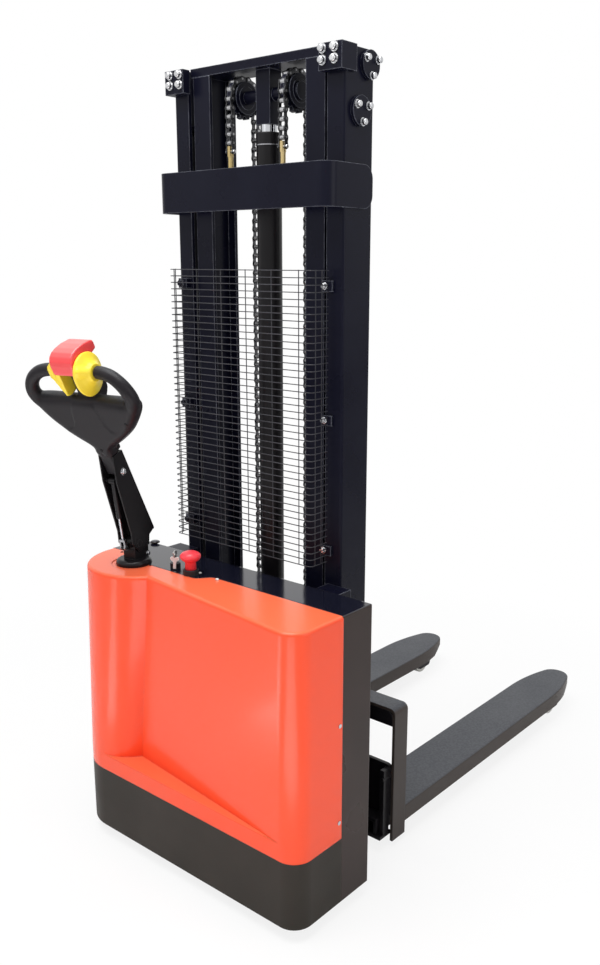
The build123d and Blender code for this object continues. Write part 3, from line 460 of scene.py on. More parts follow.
def wireTree():
    inputs = {"Rows": "Int", "Pitch": "Float", "Radius": "Float", "Sides": "Int", "Finish": "Material"}
    tree, enter, leave = newTree("wireRows", inputs)
    link = tree.links.new
    path = tree.nodes.new("GeometryNodeMeshToCurve")
    link(enter.outputs["Geometry"], path.inputs["Mesh"])
    ring = tree.nodes.new("GeometryNodeCurvePrimitiveCircle")
    link(enter.outputs["Sides"], ring.inputs["Resolution"])
    link(enter.outputs["Radius"], ring.inputs["Radius"])
    wire = tree.nodes.new("GeometryNodeCurveToMesh")
    wire.inputs["Fill Caps"].default_value = True
    link(path.outputs["Curve"], wire.inputs["Curve"])
    link(ring.outputs["Curve"], wire.inputs["Profile Curve"])
    stack = tree.nodes.new("GeometryNodeMeshLine")
    step = tree.nodes.new("ShaderNodeCombineXYZ")
    link(enter.outputs["Pitch"], step.inputs["Z"])
    link(enter.outputs["Rows"], stack.inputs["Count"])
    link(step.outputs["Vector"], stack.inputs["Offset"])
    place = tree.nodes.new("GeometryNodeInstanceOnPoints")
    link(stack.outputs["Mesh"], place.inputs["Points"])
    link(wire.outputs["Mesh"], place.inputs["Instance"])
    closeTree(tree, leave, place.outputs["Instances"], enter)
    return tree


def edgeMesh(name, lines):
    mesh = bpy.data.meshes.new(name)
    points = []
    edges = []
    for line in lines:
        start = len(points)
        points.extend(line)
        edges.extend((start + i, start + i + 1) for i in range(len(line) - 1))
    mesh.from_pydata(points, edges, [])
    return mesh


wireRows = wireTree()
corner = []
for k in range(guardSpec["bendSteps"] + 1):
    a = math.pi / 2 * k / guardSpec["bendSteps"]
    corner.append((guardSpec["bend"] * (1 - math.sin(a)), guardSpec["bend"] * (1 - math.cos(a))))
left, right, front, bottom = (guardSpec[key] for key in ("left", "right", "front", "bottom"))
rowLine = [(left, guardSpec["back"], bottom)]
rowLine += [(left + x, front + y, bottom) for y, x in corner]
rowLine += [(right - x, front + y, bottom) for x, y in corner]
rowLine += [(right, guardSpec["back"], bottom)]
wireValues = {"Rows": guardSpec["rows"], "Pitch": guardSpec["pitch"], "Radius": guardSpec["radius"],
              "Sides": guardSpec["sides"], "Finish": finish["wire"]}
rowMesh = runTree("guardRows", edgeMesh("rowLine", [rowLine]), wireRows, wireValues)
guardRows = keepPiece("guardRows", rowMesh, "wire", "chassis")
lowEnd = bottom - guardSpec["overhang"]
highEnd = bottom + (guardSpec["rows"] - 1) * guardSpec["pitch"] + guardSpec["overhang"]
inset = 2 * guardSpec["radius"]
uprightPlaces = [(x, front + inset) for x in guardSpec["uprights"]]
for y in guardSpec["sideUprights"]:
    uprightPlaces += [(left + inset, y), (right - inset, y)]
uprightEdges = edgeMesh("uprightLines", [[(x, y, lowEnd), (x, y, highEnd)] for x, y in uprightPlaces])
uprightMesh = runTree("guardUprights", uprightEdges, wireRows, {**wireValues, "Rows": 1})
keepPiece("guardUprights", uprightMesh, "wire", "chassis")
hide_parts("mesh_guard")

# Tabs that hold the net to the rails, and their bolts, bare on the right side only.
tabSpec = {"right": (0.21, 0.241), "left": (-0.255, -0.226), "front": (0.0445, 0.033), "back": 0.0502,
           "half": 0.012, "heights": (0.836, 1.151, 1.456), "boltX": (0.2195, -0.246),
           "bolt": (0.0066, 0.0075), "boltHeight": 0.008}


# Bolt heads on the tabs of one side: 0 is the right, 1 the left.
def sideBoltsInto(shape, side):
    for z in tabSpec["heights"]:
        foot = (tabSpec["boltX"][side], tabSpec["front"][side], z)
        boltInto(shape, foot, (0, -1, 0), tabSpec["bolt"][side], tabSpec["boltHeight"])


def tabsInto(shape):
    for z in tabSpec["heights"]:
        for span, front in zip((tabSpec["right"], tabSpec["left"]), tabSpec["front"]):
            low = (span[0], front, z - tabSpec["half"])
            boxInto(shape, low, (span[1], tabSpec["back"], z + tabSpec["half"]))
    sideBoltsInto(shape, 1)


def tabBoltsInto(shape):
    sideBoltsInto(shape, 0)


guardTabs = keepPiece("guardTabs", meshFrom("guardTabs", tabsInto), "mast", "chassis", False)
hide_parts("guard_clamps")
keepPiece("tabBolts", meshFrom("tabBolts", tabBoltsInto), "zinc", "chassis", False)
print("stage: guard")

# Roller chains: waisted link plates on pins, placed along each run from points with a turn.
chainSpec = {"offset": 0.084, "centreY": 0.101, "wheelZ": 1.886, "radius": 0.044, "anchorZ": 1.763,
             "shelfZ": 0.246, "plateRadius": 0.0064, "waist": 0.0044, "innerX": 0.0062, "plate": 0.0021,
             "gap": 0.0002, "pin": 0.003, "pinHalf": 0.0109, "pinSides": 8, "roller": 0.0057,
             "rollerSides": 10, "startTurn": -6.923, "wrapLinks": 7, "wrapTurn": 27.692, "frontLinks": 6,
             "rearLinks": 78, "leadLinks": 4}


def plateInto(shape, x0, x1, pitch):
    outline = []
    for side in (1, -1):
        for k in range(5):
            a = math.pi * k / 4
            outline.append((side * chainSpec["plateRadius"] * math.cos(a),
                            side * (pitch / 2 + chainSpec["plateRadius"] * math.sin(a))))
        outline.append((-side * chainSpec["waist"], 0))
    skinRings(shape, [[(x0, y, z) for y, z in outline], [(x1, y, z) for y, z in outline]])


# Pins and rollers carry a mark, so the finish shows them brighter than the plates.
def markedTurns(shape, mark, places, reach, radius, sides):
    for z in places:
        start = len(shape.verts)
        turnedInto(shape, (0, 0, z), (1, 0, 0), [(-reach, radius), (reach, radius)], sides)
        shape.verts.ensure_lookup_table()
        for vertex in shape.verts[start:]:
            vertex[mark] = 1


# One link: two plates outwards from near, and a pin or roller at each end.
def linkInto(shape, pitch, near, reach, radius, sides):
    mark = shape.verts.layers.float.new("bright")
    for side in (1, -1):
        low, high = sorted((side * near, side * (near + chainSpec["plate"])))
        plateInto(shape, low, high, pitch)
    markedTurns(shape, mark, (-pitch / 2, pitch / 2), reach, radius, sides)


def outerLink(shape, pitch):
    near = chainSpec["innerX"] + chainSpec["plate"] + chainSpec["gap"]
    linkInto(shape, pitch, near, chainSpec["pinHalf"], chainSpec["pin"], chainSpec["pinSides"])


def innerLink(shape, pitch):
    near = chainSpec["innerX"]
    linkInto(shape, pitch, near, near, chainSpec["roller"], chainSpec["rollerSides"])


def chainTree():
    inputs = {"Outer Link": "Object", "Inner Link": "Object", "Finish": "Material"}
    tree, enter, leave = newTree("chainLinks", inputs)
    link = tree.links.new
    turn = tree.nodes.new("GeometryNodeInputNamedAttribute")
    turn.data_type = "FLOAT"
    turn.inputs["Name"].default_value = "turn"
    lean = tree.nodes.new("ShaderNodeCombineXYZ")
    link(turn.outputs["Attribute"], lean.inputs["X"])
    kind = tree.nodes.new("GeometryNodeInputNamedAttribute")
    kind.data_type = "BOOLEAN"
    kind.inputs["Name"].default_value = "inner"
    swap = tree.nodes.new("FunctionNodeBooleanMath")
    swap.operation = "NOT"
    link(kind.outputs["Attribute"], swap.inputs[0])
    both = tree.nodes.new("GeometryNodeJoinGeometry")
    for label, chosen in (("Outer Link", swap.outputs[0]), ("Inner Link", kind.outputs["Attribute"])):
        source = tree.nodes.new("GeometryNodeObjectInfo")
        link(enter.outputs[label], source.inputs["Object"])
        place = tree.nodes.new("GeometryNodeInstanceOnPoints")
        link(enter.outputs["Geometry"], place.inputs["Points"])
        link(chosen, place.inputs["Selection"])
        link(source.outputs["Geometry"], place.inputs["Instance"])
        link(lean.outputs["Vector"], place.inputs["Rotation"])
        link(place.outputs["Instances"], both.inputs["Geometry"])
    closeTree(tree, leave, both.outputs["Geometry"], enter)
    return tree


chainLinks = chainTree()


# Link middles between pins, on both sides of the mast.
def chainRun(name, pins, firstKind):
    points = []
    turns = []
    kinds = []
    for side in (-1, 1):
        for i, (low, high) in enumerate(zip(pins, pins[1:])):
            points.append((side * chainSpec["offset"], (low[0] + high[0]) / 2, (low[1] + high[1]) / 2))
            turns.append(-math.atan2(high[0] - low[0], high[1] - low[1]))
            kinds.append((i + firstKind) % 2 == 1)
    pitch = math.hypot(pins[1][0] - pins[0][0], pins[1][1] - pins[0][1])
    mesh = bpy.data.meshes.new(name + "Points")
    mesh.from_pydata(points, [], [])
    mesh.attributes.new("turn", "FLOAT", "POINT").data.foreach_set("value", turns)
    mesh.attributes.new("inner", "BOOLEAN", "POINT").data.foreach_set("value", kinds)
    links = []
    for build in (outerLink, innerLink):
        link = bpy.data.objects.new("link", meshFrom("link", lambda shape: build(shape, pitch)))
        scene.collection.objects.link(link)
        links.append(link)
    values = {"Outer Link": links[0], "Inner Link": links[1], "Finish": finish["chain"]}
    result = runTree(name, mesh, chainLinks, values)
    for link in links:
        bpy.data.objects.remove(link)
    return result


def wheelPin(degrees):
    a = math.radians(degrees)
    return (chainSpec["centreY"] - chainSpec["radius"] * math.cos(a),
            chainSpec["wheelZ"] + chainSpec["radius"] * math.sin(a))


# A run of links, on a body or on none.
def keepChain(name, pins, firstKind, body):
    return keepPiece(name, chainRun(name, pins, firstKind), "chain", body, False)


wrapPins = [wheelPin(chainSpec["startTurn"] + k * chainSpec["wrapTurn"])
            for k in range(chainSpec["wrapLinks"] + 1)]
frontY, frontTop = wrapPins[0]
rearY, rearTop = wrapPins[-1]
frontPins = [(frontY, chainSpec["anchorZ"] + (frontTop - chainSpec["anchorZ"]) * k / chainSpec["frontLinks"])
             for k in range(chainSpec["frontLinks"] + 1)]
rearPins = [(rearY, rearTop + (chainSpec["shelfZ"] - rearTop) * k / chainSpec["rearLinks"])
            for k in range(chainSpec["rearLinks"] + 1)]
frontChain = keepChain("frontChain", frontPins, 0, None)
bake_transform(frontChain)
wheelChain = keepChain("wheelChain", wrapPins, 0, "inner_mast")
# The first links behind the wheel are a piece of their own, and the run below them is another, with a mesh
# of its own.
lead = chainSpec["leadLinks"]
keepChain("leadChain", rearPins[:lead + 1], 1, "inner_mast")
rearChain = keepChain("rearChain", rearPins[lead:], 1 + lead, "inner_mast")
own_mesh(rearChain)
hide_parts("front_chains")
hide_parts("chain_wraps")
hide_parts("rear_chains")

# Clevis pins through the lowest front links.
clevisSpec = {"half": 0.0145, "radius": 0.0042, "tip": 0.0034, "chamfer": 0.001, "sides": 16}


def anchorPinsInto(shape):
    tip = clevisSpec["tip"]
    radius = clevisSpec["radius"]
    cut = clevisSpec["chamfer"]
    length = 2 * clevisSpec["half"]
    for side in (1, -1):
        end = (side * chainSpec["offset"] - clevisSpec["half"], frontY, chainSpec["anchorZ"])
        turnedInto(shape, end, (1, 0, 0), [(0, tip), (cut, radius), (length - cut, radius), (length, tip)],
                   clevisSpec["sides"])


keepPiece("anchorPins", meshFrom("anchorPins", anchorPinsInto), "zinc", "chassis")

# Bright wiper ring in the gland's lower joint.
wiperSpec = {"inset": 0.001, "proud": 0.0006, "half": 0.0012, "sides": 48}


def glandRingInto(shape):
    low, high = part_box("cylinder_gland")
    middle = Vector(((low[0] + high[0]) / 2, (low[1] + high[1]) / 2, low[2]))
    inner = (high[0] - low[0]) / 2 - wiperSpec["inset"]
    outer = (high[0] - low[0]) / 2 + wiperSpec["proud"]
    rise = Vector((0, 0, wiperSpec["half"]))
    sections = []
    for k in range(wiperSpec["sides"]):
        a = 2 * math.pi * k / wiperSpec["sides"]
        out = Vector((math.cos(a), math.sin(a), 0))
        sections.append([middle + out * inner - rise, middle + out * outer - rise,
                         middle + out * outer + rise, middle + out * inner + rise])
    skinRings(shape, sections, hoop=True)


keepPiece("glandRing", meshFrom("glandRing", glandRingInto), "steel", "chassis", False)
print("stage: chains")

# Tiller head in its own leaning frame: rounded heart, hand loops, neck and control column, merged.
# A loop point is x, z, y and radius, and a cheek point is z and y.
headSpec = {"column": (-0.255, -0.15, 0.809), "steer": 12, "tilt": 19, "foot": (0, 0.005, 0.26), "lean": 8.3,
            "depth": (-0.019, 0.029), "round": 0.0215, "voxel": 0.0022, "smooth": 24,
            "outline": [(0.0, -0.002), (0.024, -0.002), (0.0245, 0.012), (0.036, 0.024), (0.061, 0.04),
                        (0.089, 0.06), (0.111, 0.079), (0.128, 0.099), (0.143, 0.119), (0.153, 0.137),
                        (0.153, 0.152), (0.14, 0.161), (0.11, 0.164), (0.06, 0.164), (0.0, 0.164)],
            "outlineSteps": 4,
            "loop": [(0.0645, 0.2305, 0.006, 0.0158), (0.084, 0.2295, 0.005, 0.016),
                     (0.108, 0.224, 0.002, 0.016), (0.129, 0.21, -0.002, 0.0162),
                     (0.1425, 0.191, -0.004, 0.0166), (0.1475, 0.17, -0.004, 0.0172),
                     (0.1415, 0.15, -0.002, 0.0178), (0.127, 0.133, 0.001, 0.0178),
                     (0.106, 0.12, 0.003, 0.017)],
            "loopSteps": 5, "cheekX": (0.0187, 0.031), "cheekFront": 0.026,
            "cheek": [(0.125, 0.03), (0.135, 0.038), (0.157, 0.057), (0.2, 0.06), (0.222, 0.058)],
            "columnBlocks": [((-0.0195, 0.004, 0.125), (0.0195, 0.0425, 0.222)),
                             ((-0.024, 0.018, 0.125), (0.024, 0.0425, 0.222))],
            "neckBlocks": [((-0.024, -0.014, -0.002), (0.024, 0.027, 0.05)),
                           ((-0.0185, -0.014, -0.06), (0.0185, 0.0145, 0.03))],
            "barY": 0.006, "barZ": 0.23, "barHalf": 0.074, "barRadius": 0.0092, "barSides": 20}
headPlace = (Matrix.Translation(headSpec["column"])
             @ Matrix.Rotation(math.radians(headSpec["steer"]), 4, "Z")
             @ Matrix.Rotation(math.radians(headSpec["tilt"]), 4, "X")
             @ Matrix.Translation(headSpec["foot"])
             @ Matrix.Rotation(math.radians(headSpec["lean"]), 4, "X"))


# A piece that is made in the head's own frame and then set in its place.
def keepOnHead(name, mesh, materialName, body, smooth=True):
    mesh.transform(headPlace)
    return keepPiece(name, mesh, materialName, body, smooth)


# A slab with rounded edges: the outline drawn in near both faces.
def roundSlabInto(shape, outline, depth, rounding):
    points = [Vector(point) for point in outline]
    following = points[1:] + points[:1]
    area = sum(p.x * q.y - q.x * p.y for p, q in zip(points, following))
    inward = []
    for i, point in enumerate(following):
        along = (point - points[i - 1]).normalized()
        inward.append(Vector((-along.y, along.x)) * (1 if area > 0 else -1))
    rings = []
    steps = 5
    levels = [(depth[0] + rounding * (1 - math.cos(math.pi / 2 * k / steps)),
               rounding * (1 - math.sin(math.pi / 2 * k / steps))) for k in range(steps + 1)]
    levels += [(depth[1] - y + depth[0], inset) for y, inset in reversed(levels)]
    for y, inset in levels:
        rings.append([(p.x + n.x * inset, y, p.y + n.y * inset) for p, n in zip(points, inward)])
    skinRings(shape, rings)


def headInto(shape):
    line = smoothLine([(x, z, 0) for x, z in headSpec["outline"]], headSpec["outlineSteps"])
    right = [(p.x, p.y) for p in line]
    outline = right + [(-x, z) for x, z in reversed(right[1:-1])]
    roundSlabInto(shape, outline, headSpec["depth"], headSpec["round"])
    loop = headSpec["loop"]
    front = headSpec["cheekFront"]
    radii = [v.x for v in smoothLine([(r, 0, 0) for x, z, y, r in loop], headSpec["loopSteps"])]
    for side in (1, -1):
        path = smoothLine([(side * x, y, z) for x, z, y, r in loop], headSpec["loopSteps"])
        tubeInto(shape, path, radii, (0, 1, 0))
        low, high = sorted(side * x for x in headSpec["cheekX"])
        skinRings(shape, [[(low, front, z), (high, front, z), (high, y, z), (low, y, z)]
                          for z, y in headSpec["cheek"]])
    for low, high in headSpec["columnBlocks"] + headSpec["neckBlocks"]:
        boxInto(shape, low, high)
    barEnd = (-headSpec["barHalf"], headSpec["barY"], headSpec["barZ"])
    bar = [(0, headSpec["barRadius"]), (2 * headSpec["barHalf"], headSpec["barRadius"])]
    turnedInto(shape, barEnd, (1, 0, 0), bar, headSpec["barSides"])


# Overlapping forms merged into one skin and relaxed.
def mergedMesh(name, build, voxel, smooth):
    rough = bpy.data.objects.new(name + "Rough", meshFrom(name + "Rough", build))
    scene.collection.objects.link(rough)
    remesh = rough.modifiers.new("merge", "REMESH")
    remesh.mode = "VOXEL"
    remesh.voxel_size = voxel
    relax = rough.modifiers.new("relax", "SMOOTH")
    relax.iterations = smooth
    relax.factor = 0.5
    return plainMesh(name, rough)


headMesh = mergedMesh("tillerShell", headInto, headSpec["voxel"], headSpec["smooth"])

# Soft step in the front face, curving outward at its foot on both sides.
creaseSpec = {"line": [(0.068, 0.072), (0.055, 0.083), (0.046, 0.097), (0.041, 0.125), (0.033, 0.148),
                       (0.029, 0.158)],
              "front": -0.008, "frontFade": 0.006, "low": 0.066, "lowFade": 0.016, "high": 0.16,
              "highFade": 0.01, "lead": 0.004, "rise": 0.008, "reach": 0.075, "depth": 0.003}


def creaseAt(height):
    line = creaseSpec["line"]
    for (x0, z0), (x1, z1) in zip(line, line[1:]):
        if height <= z1:
            return x0 + (x1 - x0) * max(height - z0, 0) / (z1 - z0)
    return line[-1][0]


for vertex in headMesh.vertices:
    x, y, z = vertex.co
    if y < creaseSpec["front"] and creaseSpec["low"] < z < creaseSpec["high"]:
        beyond = abs(x) - creaseAt(z)
        if beyond > -creaseSpec["lead"]:
            step = min((beyond + creaseSpec["lead"]) / creaseSpec["rise"], 1)
            step *= max(1 - beyond / creaseSpec["reach"], 0)
            fade = min((z - creaseSpec["low"]) / creaseSpec["lowFade"],
                       (creaseSpec["high"] - z) / creaseSpec["highFade"], 1)
            fade *= min((creaseSpec["front"] - y) / creaseSpec["frontFade"], 1)
            vertex.co.y = y + creaseSpec["depth"] * step * fade
headShell = keepOnHead("tillerShell", headMesh, "grip", "tiller")
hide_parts("tiller_head", "hand_loops")

# Ears and a pin that carry the lift rocker.
earSpec = {"x": (0.0152, 0.0202), "y": (0.04, 0.059), "z": (0.184, 0.196), "pinY": 0.054, "pinZ": 0.19,
           "pin": 0.003, "pinSides": 12}


def rockerEars(shape):
    inner, outer = earSpec["x"]
    y0, y1 = earSpec["y"]
    z0, z1 = earSpec["z"]
    for low, high in ((inner, outer), (-outer, -inner)):
        boxInto(shape, (low, y0, z0), (high, y1, z1))
    pin = [(0, earSpec["pin"]), (2 * outer, earSpec["pin"])]
    turnedInto(shape, (-outer, earSpec["pinY"], earSpec["pinZ"]), (1, 0, 0), pin, earSpec["pinSides"])


keepOnHead("rockerEars", meshFrom("rockerEars", rockerEars), "grip", "tiller", False)

# Screw wells in the shell's front face: dark cups, a little proud of the face, that stand for the holes as
# painted shade.
wellSpec = {"places": [(0.003, 0.02), (0.112, 0.106)], "radius": 0.0046, "near": 0.003, "proud": 0.0009,
            "rim": 0.0003, "rimInset": 0.0006, "depth": 0.004, "sides": 16}


def screwWells(shape):
    unplace = headPlace.inverted()
    skin = [unplace @ vertex.co for vertex in headMesh.vertices]
    r = wellSpec["radius"]
    well = [(0, r - wellSpec["rimInset"]), (wellSpec["rim"], r), (wellSpec["depth"], r)]
    for x, z in wellSpec["places"]:
        face = min(p.y for p in skin if math.hypot(p.x - x, p.z - z) < wellSpec["near"])
        turnedInto(shape, (x, face - wellSpec["proud"], z), (0, 1, 0), well, wellSpec["sides"])


keepOnHead("screwWells", meshFrom("screwWells", screwWells), "holeShade", "tiller")

# Throttle paddles: lobed discs about the bar that taper to a hub, with a thumb ridge on the operator's side.
# A ring is x, radius, lobe and ridge.
paddleSpec = {"rings": [(0.0335, 0.0425, 0.01, 0), (0.035, 0.0455, 0.0125, 0), (0.041, 0.0465, 0.0125, 0),
                        (0.0475, 0.034, 0.01, 0.0145), (0.054, 0.026, 0.006, 0.0135),
                        (0.0605, 0.0215, 0.002, 0.007), (0.064, 0.0205, 0, 0)],
              "ridgeAt": 148, "ridgeWidth": 30, "leftLobe": 1.5, "leftLimit": -0.012, "leftRim": 0.6,
              "rimEnd": 0.045, "sides": 60, "voxel": 0.0016, "smooth": 2}


def paddlesInto(shape):
    inner = paddleSpec["rings"][0][0]
    for side in (1, -1):
        rings = []
        for x, base, lobe, ridge in paddleSpec["rings"]:
            ring = []
            for k in range(paddleSpec["sides"]):
                turn = 360 * k / paddleSpec["sides"]
                a = math.radians(turn)
                hang = lobe * (paddleSpec["leftLobe"] if side < 0 else 1) * max(-math.sin(a), 0) ** 2
                rise = max(1 - abs(turn - paddleSpec["ridgeAt"]) / paddleSpec["ridgeWidth"], 0)
                r = base + hang + ridge * rise
                y = headSpec["barY"] + r * math.cos(a)
                across = x
                if side < 0:
                    y = max(y, paddleSpec["leftLimit"])
                    if x < paddleSpec["rimEnd"]:
                        across = inner + (x - inner) * paddleSpec["leftRim"]
                ring.append((side * across, y, headSpec["barZ"] + r * math.sin(a)))
            rings.append(ring)
        skinRings(shape, rings)


paddleMesh = mergedMesh("throttleShells", paddlesInto, paddleSpec["voxel"], paddleSpec["smooth"])
paddleShells = keepOnHead("throttleShells", paddleMesh, "yellow", "throttle")
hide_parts("throttle_paddles")

# Belly button: a hooded side outline with rounded edges across the head.
hoodSpec = {"half": 0.033, "round": 0.0036, "voxel": 0.0015, "smooth": 4,
            "outline": [(-0.0255, 0.2365), (-0.0275, 0.245), (-0.0275, 0.262), (-0.0255, 0.272),
                        (-0.019, 0.281), (-0.008, 0.287), (0.008, 0.2895), (0.03, 0.2885), (0.056, 0.2835),
                        (0.0635, 0.2795), (0.0657, 0.273), (0.0655, 0.26), (0.062, 0.2572), (0.03, 0.25),
                        (-0.008, 0.2475), (-0.012, 0.238)]}


def hoodInto(shape):
    roundSlabInto(shape, hoodSpec["outline"], (-hoodSpec["half"], hoodSpec["half"]), hoodSpec["round"])
    for vertex in shape.verts:
        vertex.co = (vertex.co.y, vertex.co.x, vertex.co.z)


hoodMesh = mergedMesh("bellyHood", hoodInto, hoodSpec["voxel"], hoodSpec["smooth"])
bellyHood = keepOnHead("bellyHood", hoodMesh, "red", "belly_button")
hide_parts("belly_button")
print("stage: tiller head")

# Keys: the one in the switch, a ring through its bow, and a forked tag hanging on the ring.
keySpec = {"place": (-0.137, -0.113), "deck": 0.754, "across": (0.769, 0.639), "ahead": (0.639, -0.769),
           "barrel": [(0.0045, 0.0049), (0.0155, 0.0049), (0.017, 0.004)], "barrelSides": 20,
           "thick": 0.0026, "bladeHalf": 0.0042, "bladeZ": (0.016, 0.034), "bow": 0.0068, "bowZ": 0.04,
           "bowCut": 0.0006, "bowSides": 28, "ringOut": 0.0085, "ringZ": 0.041, "ringHalf": (0.0075, 0.0065),
           "ringSteps": 28, "wire": 0.0008, "wireSides": 8, "tagOut": 0.0145, "tagThick": 0.002,
           "tag": [(-0.01, 0.0325), (-0.0045, 0.0355), (0.0, 0.031), (0.0065, 0.034), (0.0125, 0.0325),
                   (0.0125, 0.0275), (0.0045, 0.0205), (0.0037, 0.003), (-0.0037, 0.003), (-0.003, 0.0205),
                   (-0.0095, 0.0285)]}


def keyInto(shape):
    x, y = keySpec["place"]
    z = keySpec["deck"]
    thick = keySpec["thick"]
    width = keySpec["bladeHalf"]
    low, high = keySpec["bladeZ"]
    r = keySpec["bow"]
    cut = keySpec["bowCut"]
    turnedInto(shape, (x, y, z), (0, 0, 1), keySpec["barrel"], keySpec["barrelSides"])
    boxInto(shape, (x - thick / 2, y - width, z + low), (x + thick / 2, y + width, z + high))
    turnedInto(shape, (x - thick / 2, y, z + keySpec["bowZ"]), (1, 0, 0),
               [(0, r - cut), (cut, r), (thick - cut, r), (thick, r - cut)], keySpec["bowSides"])


keyPiece = keepPiece("keyBlade", meshFrom("keyBlade", keyInto), "nickel", "key", False)
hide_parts("key")


def keyRingInto(shape):
    x, y = keySpec["place"]
    aheadX, aheadY = keySpec["ahead"]
    halfOut, halfUp = keySpec["ringHalf"]
    steps = keySpec["ringSteps"]
    ring = []
    for k in range(steps):
        a = 2 * math.pi * k / steps
        out = keySpec["ringOut"] + halfOut * math.cos(a)
        ring.append(Vector((x + aheadX * out, y + aheadY * out,
                            keySpec["deck"] + keySpec["ringZ"] + halfUp * math.sin(a))))
    first = Vector((aheadY, -aheadX, 0))
    sections = []
    for i, point in enumerate(ring):
        second = (ring[(i + 1) % steps] - ring[i - 1]).normalized().cross(first).normalized()
        section = []
        for k in range(keySpec["wireSides"]):
            b = 2 * math.pi * k / keySpec["wireSides"]
            section.append(point + keySpec["wire"] * (first * math.cos(b) + second * math.sin(b)))
        sections.append(section)
    skinRings(shape, sections, hoop=True)


def keyTagInto(shape):
    x, y = keySpec["place"]
    acrossX, acrossY = keySpec["across"]
    aheadX, aheadY = keySpec["ahead"]
    rings = []
    for out in (keySpec["tagOut"], keySpec["tagOut"] + keySpec["tagThick"]):
        rings.append([(x + acrossX * u + aheadX * out, y + acrossY * u + aheadY * out, keySpec["deck"] + z)
                      for u, z in keySpec["tag"]])
    skinRings(shape, rings)


keepPiece("keyRing", meshFrom("keyRing", keyRingInto), "nickel", "key")
keepPiece("keyTag", meshFrom("keyTag", keyTagInto), "screw", "key", False)

# Upright ribs around the switch.
ribSpec = {"count": 18, "z": (-0.0005, 0.0128), "root": 0.0115, "rootHalf": 0.0011, "crest": 0.0131,
           "crestHalf": 0.0006}


def switchRibsInto(shape):
    x, y = keySpec["place"]
    for k in range(ribSpec["count"]):
        a = 2 * math.pi * k / ribSpec["count"]
        out = Vector((math.cos(a), math.sin(a), 0))
        along = Vector((-out.y, out.x, 0))
        rings = []
        for z in ribSpec["z"]:
            root = Vector((x, y, keySpec["deck"] + z)) + out * ribSpec["root"]
            crest = Vector((x, y, keySpec["deck"] + z)) + out * ribSpec["crest"]
            rings.append([root - along * ribSpec["rootHalf"], crest - along * ribSpec["crestHalf"],
                          crest + along * ribSpec["crestHalf"], root + along * ribSpec["rootHalf"]])
        skinRings(shape, rings)


keepPiece("switchRibs", meshFrom("switchRibs", switchRibsInto), "casing", "chassis", False)
print("stage: keys")

# Stop button: a round stem that flares into a soft mushroom cap.
stopSpec = {"place": (-0.07, -0.122, 0.754), "sides": 40,
            "profile": [(0.009, 0.0135), (0.0095, 0.0142), (0.0315, 0.0139), (0.0335, 0.0146),
                        (0.0355, 0.0175), (0.0385, 0.0216), (0.0425, 0.025), (0.0468, 0.0263),
                        (0.051, 0.0254), (0.0552, 0.0217), (0.0582, 0.0155), (0.0597, 0.0085),
                        (0.06, 0.0015)]}
stopMesh = standingMesh("stopCap", stopSpec["place"], stopSpec["profile"], stopSpec["sides"])
stopCap = keepPiece("stopCap", stopMesh, "stop", "stop_button")
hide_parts("stop_button")
print("stage: stop button")

# Small fixings: domed screws on the covers, a dark disc of painted shade for a hole in the cover, a deck
# stud, and the bolt on the steering block.
fixingSpec = {"screws": [(-0.0602, -0.1002, 0.7538), (0.0115, -0.1105, 0.7558)],
              "screwProfile": [(-0.001, 0.0042), (0.0008, 0.0042), (0.0021, 0.00315), (0.0027, 0.00126)],
              "holeSpot": (-0.349, -0.114, 0.7538),
              "holeSpotProfile": [(-0.001, 0.0048), (0.0004, 0.0048), (0.001, 0.0036)], "sides": 18,
              "stud": (-0.345, -0.002, 0.7535), "studSides": 28,
              "studProfile": [(-0.001, 0.007), (0.0025, 0.007), (0.0031, 0.0125), (0.0055, 0.0132),
                              (0.0078, 0.0105), (0.0086, 0.004)],
              "steerBolt": (0.0175, 0.0355, 0.772), "boltRadius": 0.0056, "boltHeight": 0.0055}


def domesInto(shape):
    for place in fixingSpec["screws"]:
        turnedInto(shape, place, (0, 0, 1), fixingSpec["screwProfile"], fixingSpec["sides"])


def steerBoltInto(shape):
    boltInto(shape, fixingSpec["steerBolt"], (1, 0, 0), fixingSpec["boltRadius"], fixingSpec["boltHeight"])


holeShadeMesh = standingMesh("coverPlug", fixingSpec["holeSpot"], fixingSpec["holeSpotProfile"], fixingSpec["sides"])
studMesh = standingMesh("deckStud", fixingSpec["stud"], fixingSpec["studProfile"], fixingSpec["studSides"])
keepPiece("coverDomes", meshFrom("coverDomes", domesInto), "screw", "chassis")
# A dark disc on the cover top: painted shade for a hole.
keepPiece("coverPlug", holeShadeMesh, "holeShade", "chassis")
keepPiece("deckStud", studMesh, "panel", "chassis")
steerMesh = meshFrom("steeringBolt", steerBoltInto)
steerMesh.transform(Matrix.Translation((headSpec["column"][0], headSpec["column"][1], 0))
                    @ Matrix.Rotation(math.radians(headSpec["steer"]), 4, "Z"))
keepPiece("steeringBolt", steerMesh, "zinc", "steering", False)
print("stage: fixings")

# Studio: pale floor, white surround and large soft lamps.
studioSpec = {"floorColours": ((0.86, 0.86, 0.86), (0.88, 0.88, 0.88)), "floorRough": 0.8, "floorSize": 40,
              "floorZ": -0.0005, "glow": (0.84, 1), "glowReach": (1.0, 2.2), "worldLight": 0.42}
floorFinish, floorTree, floorSurface = shaderTree("floorFinish")
floorPlace = floorTree.nodes.new("ShaderNodeTexCoord").outputs["Object"]
floorMottle = rampNode(floorTree, noiseNode(floorTree, 3, 3, floorPlace), 0, 1)
floorColour = mixColours(floorTree, floorMottle, *studioSpec["floorColours"])
floorTree.links.new(floorColour, floorSurface.inputs["Base Color"])
floorSurface.inputs["Roughness"].default_value = studioSpec["floorRough"]
floorGlow = floorTree.nodes.new("ShaderNodeEmission")
floorGlow.inputs["Strength"].default_value = 1
floorReach = floorTree.nodes.new("ShaderNodeVectorMath")
floorReach.operation = "LENGTH"
floorTree.links.new(floorPlace, floorReach.inputs[0])
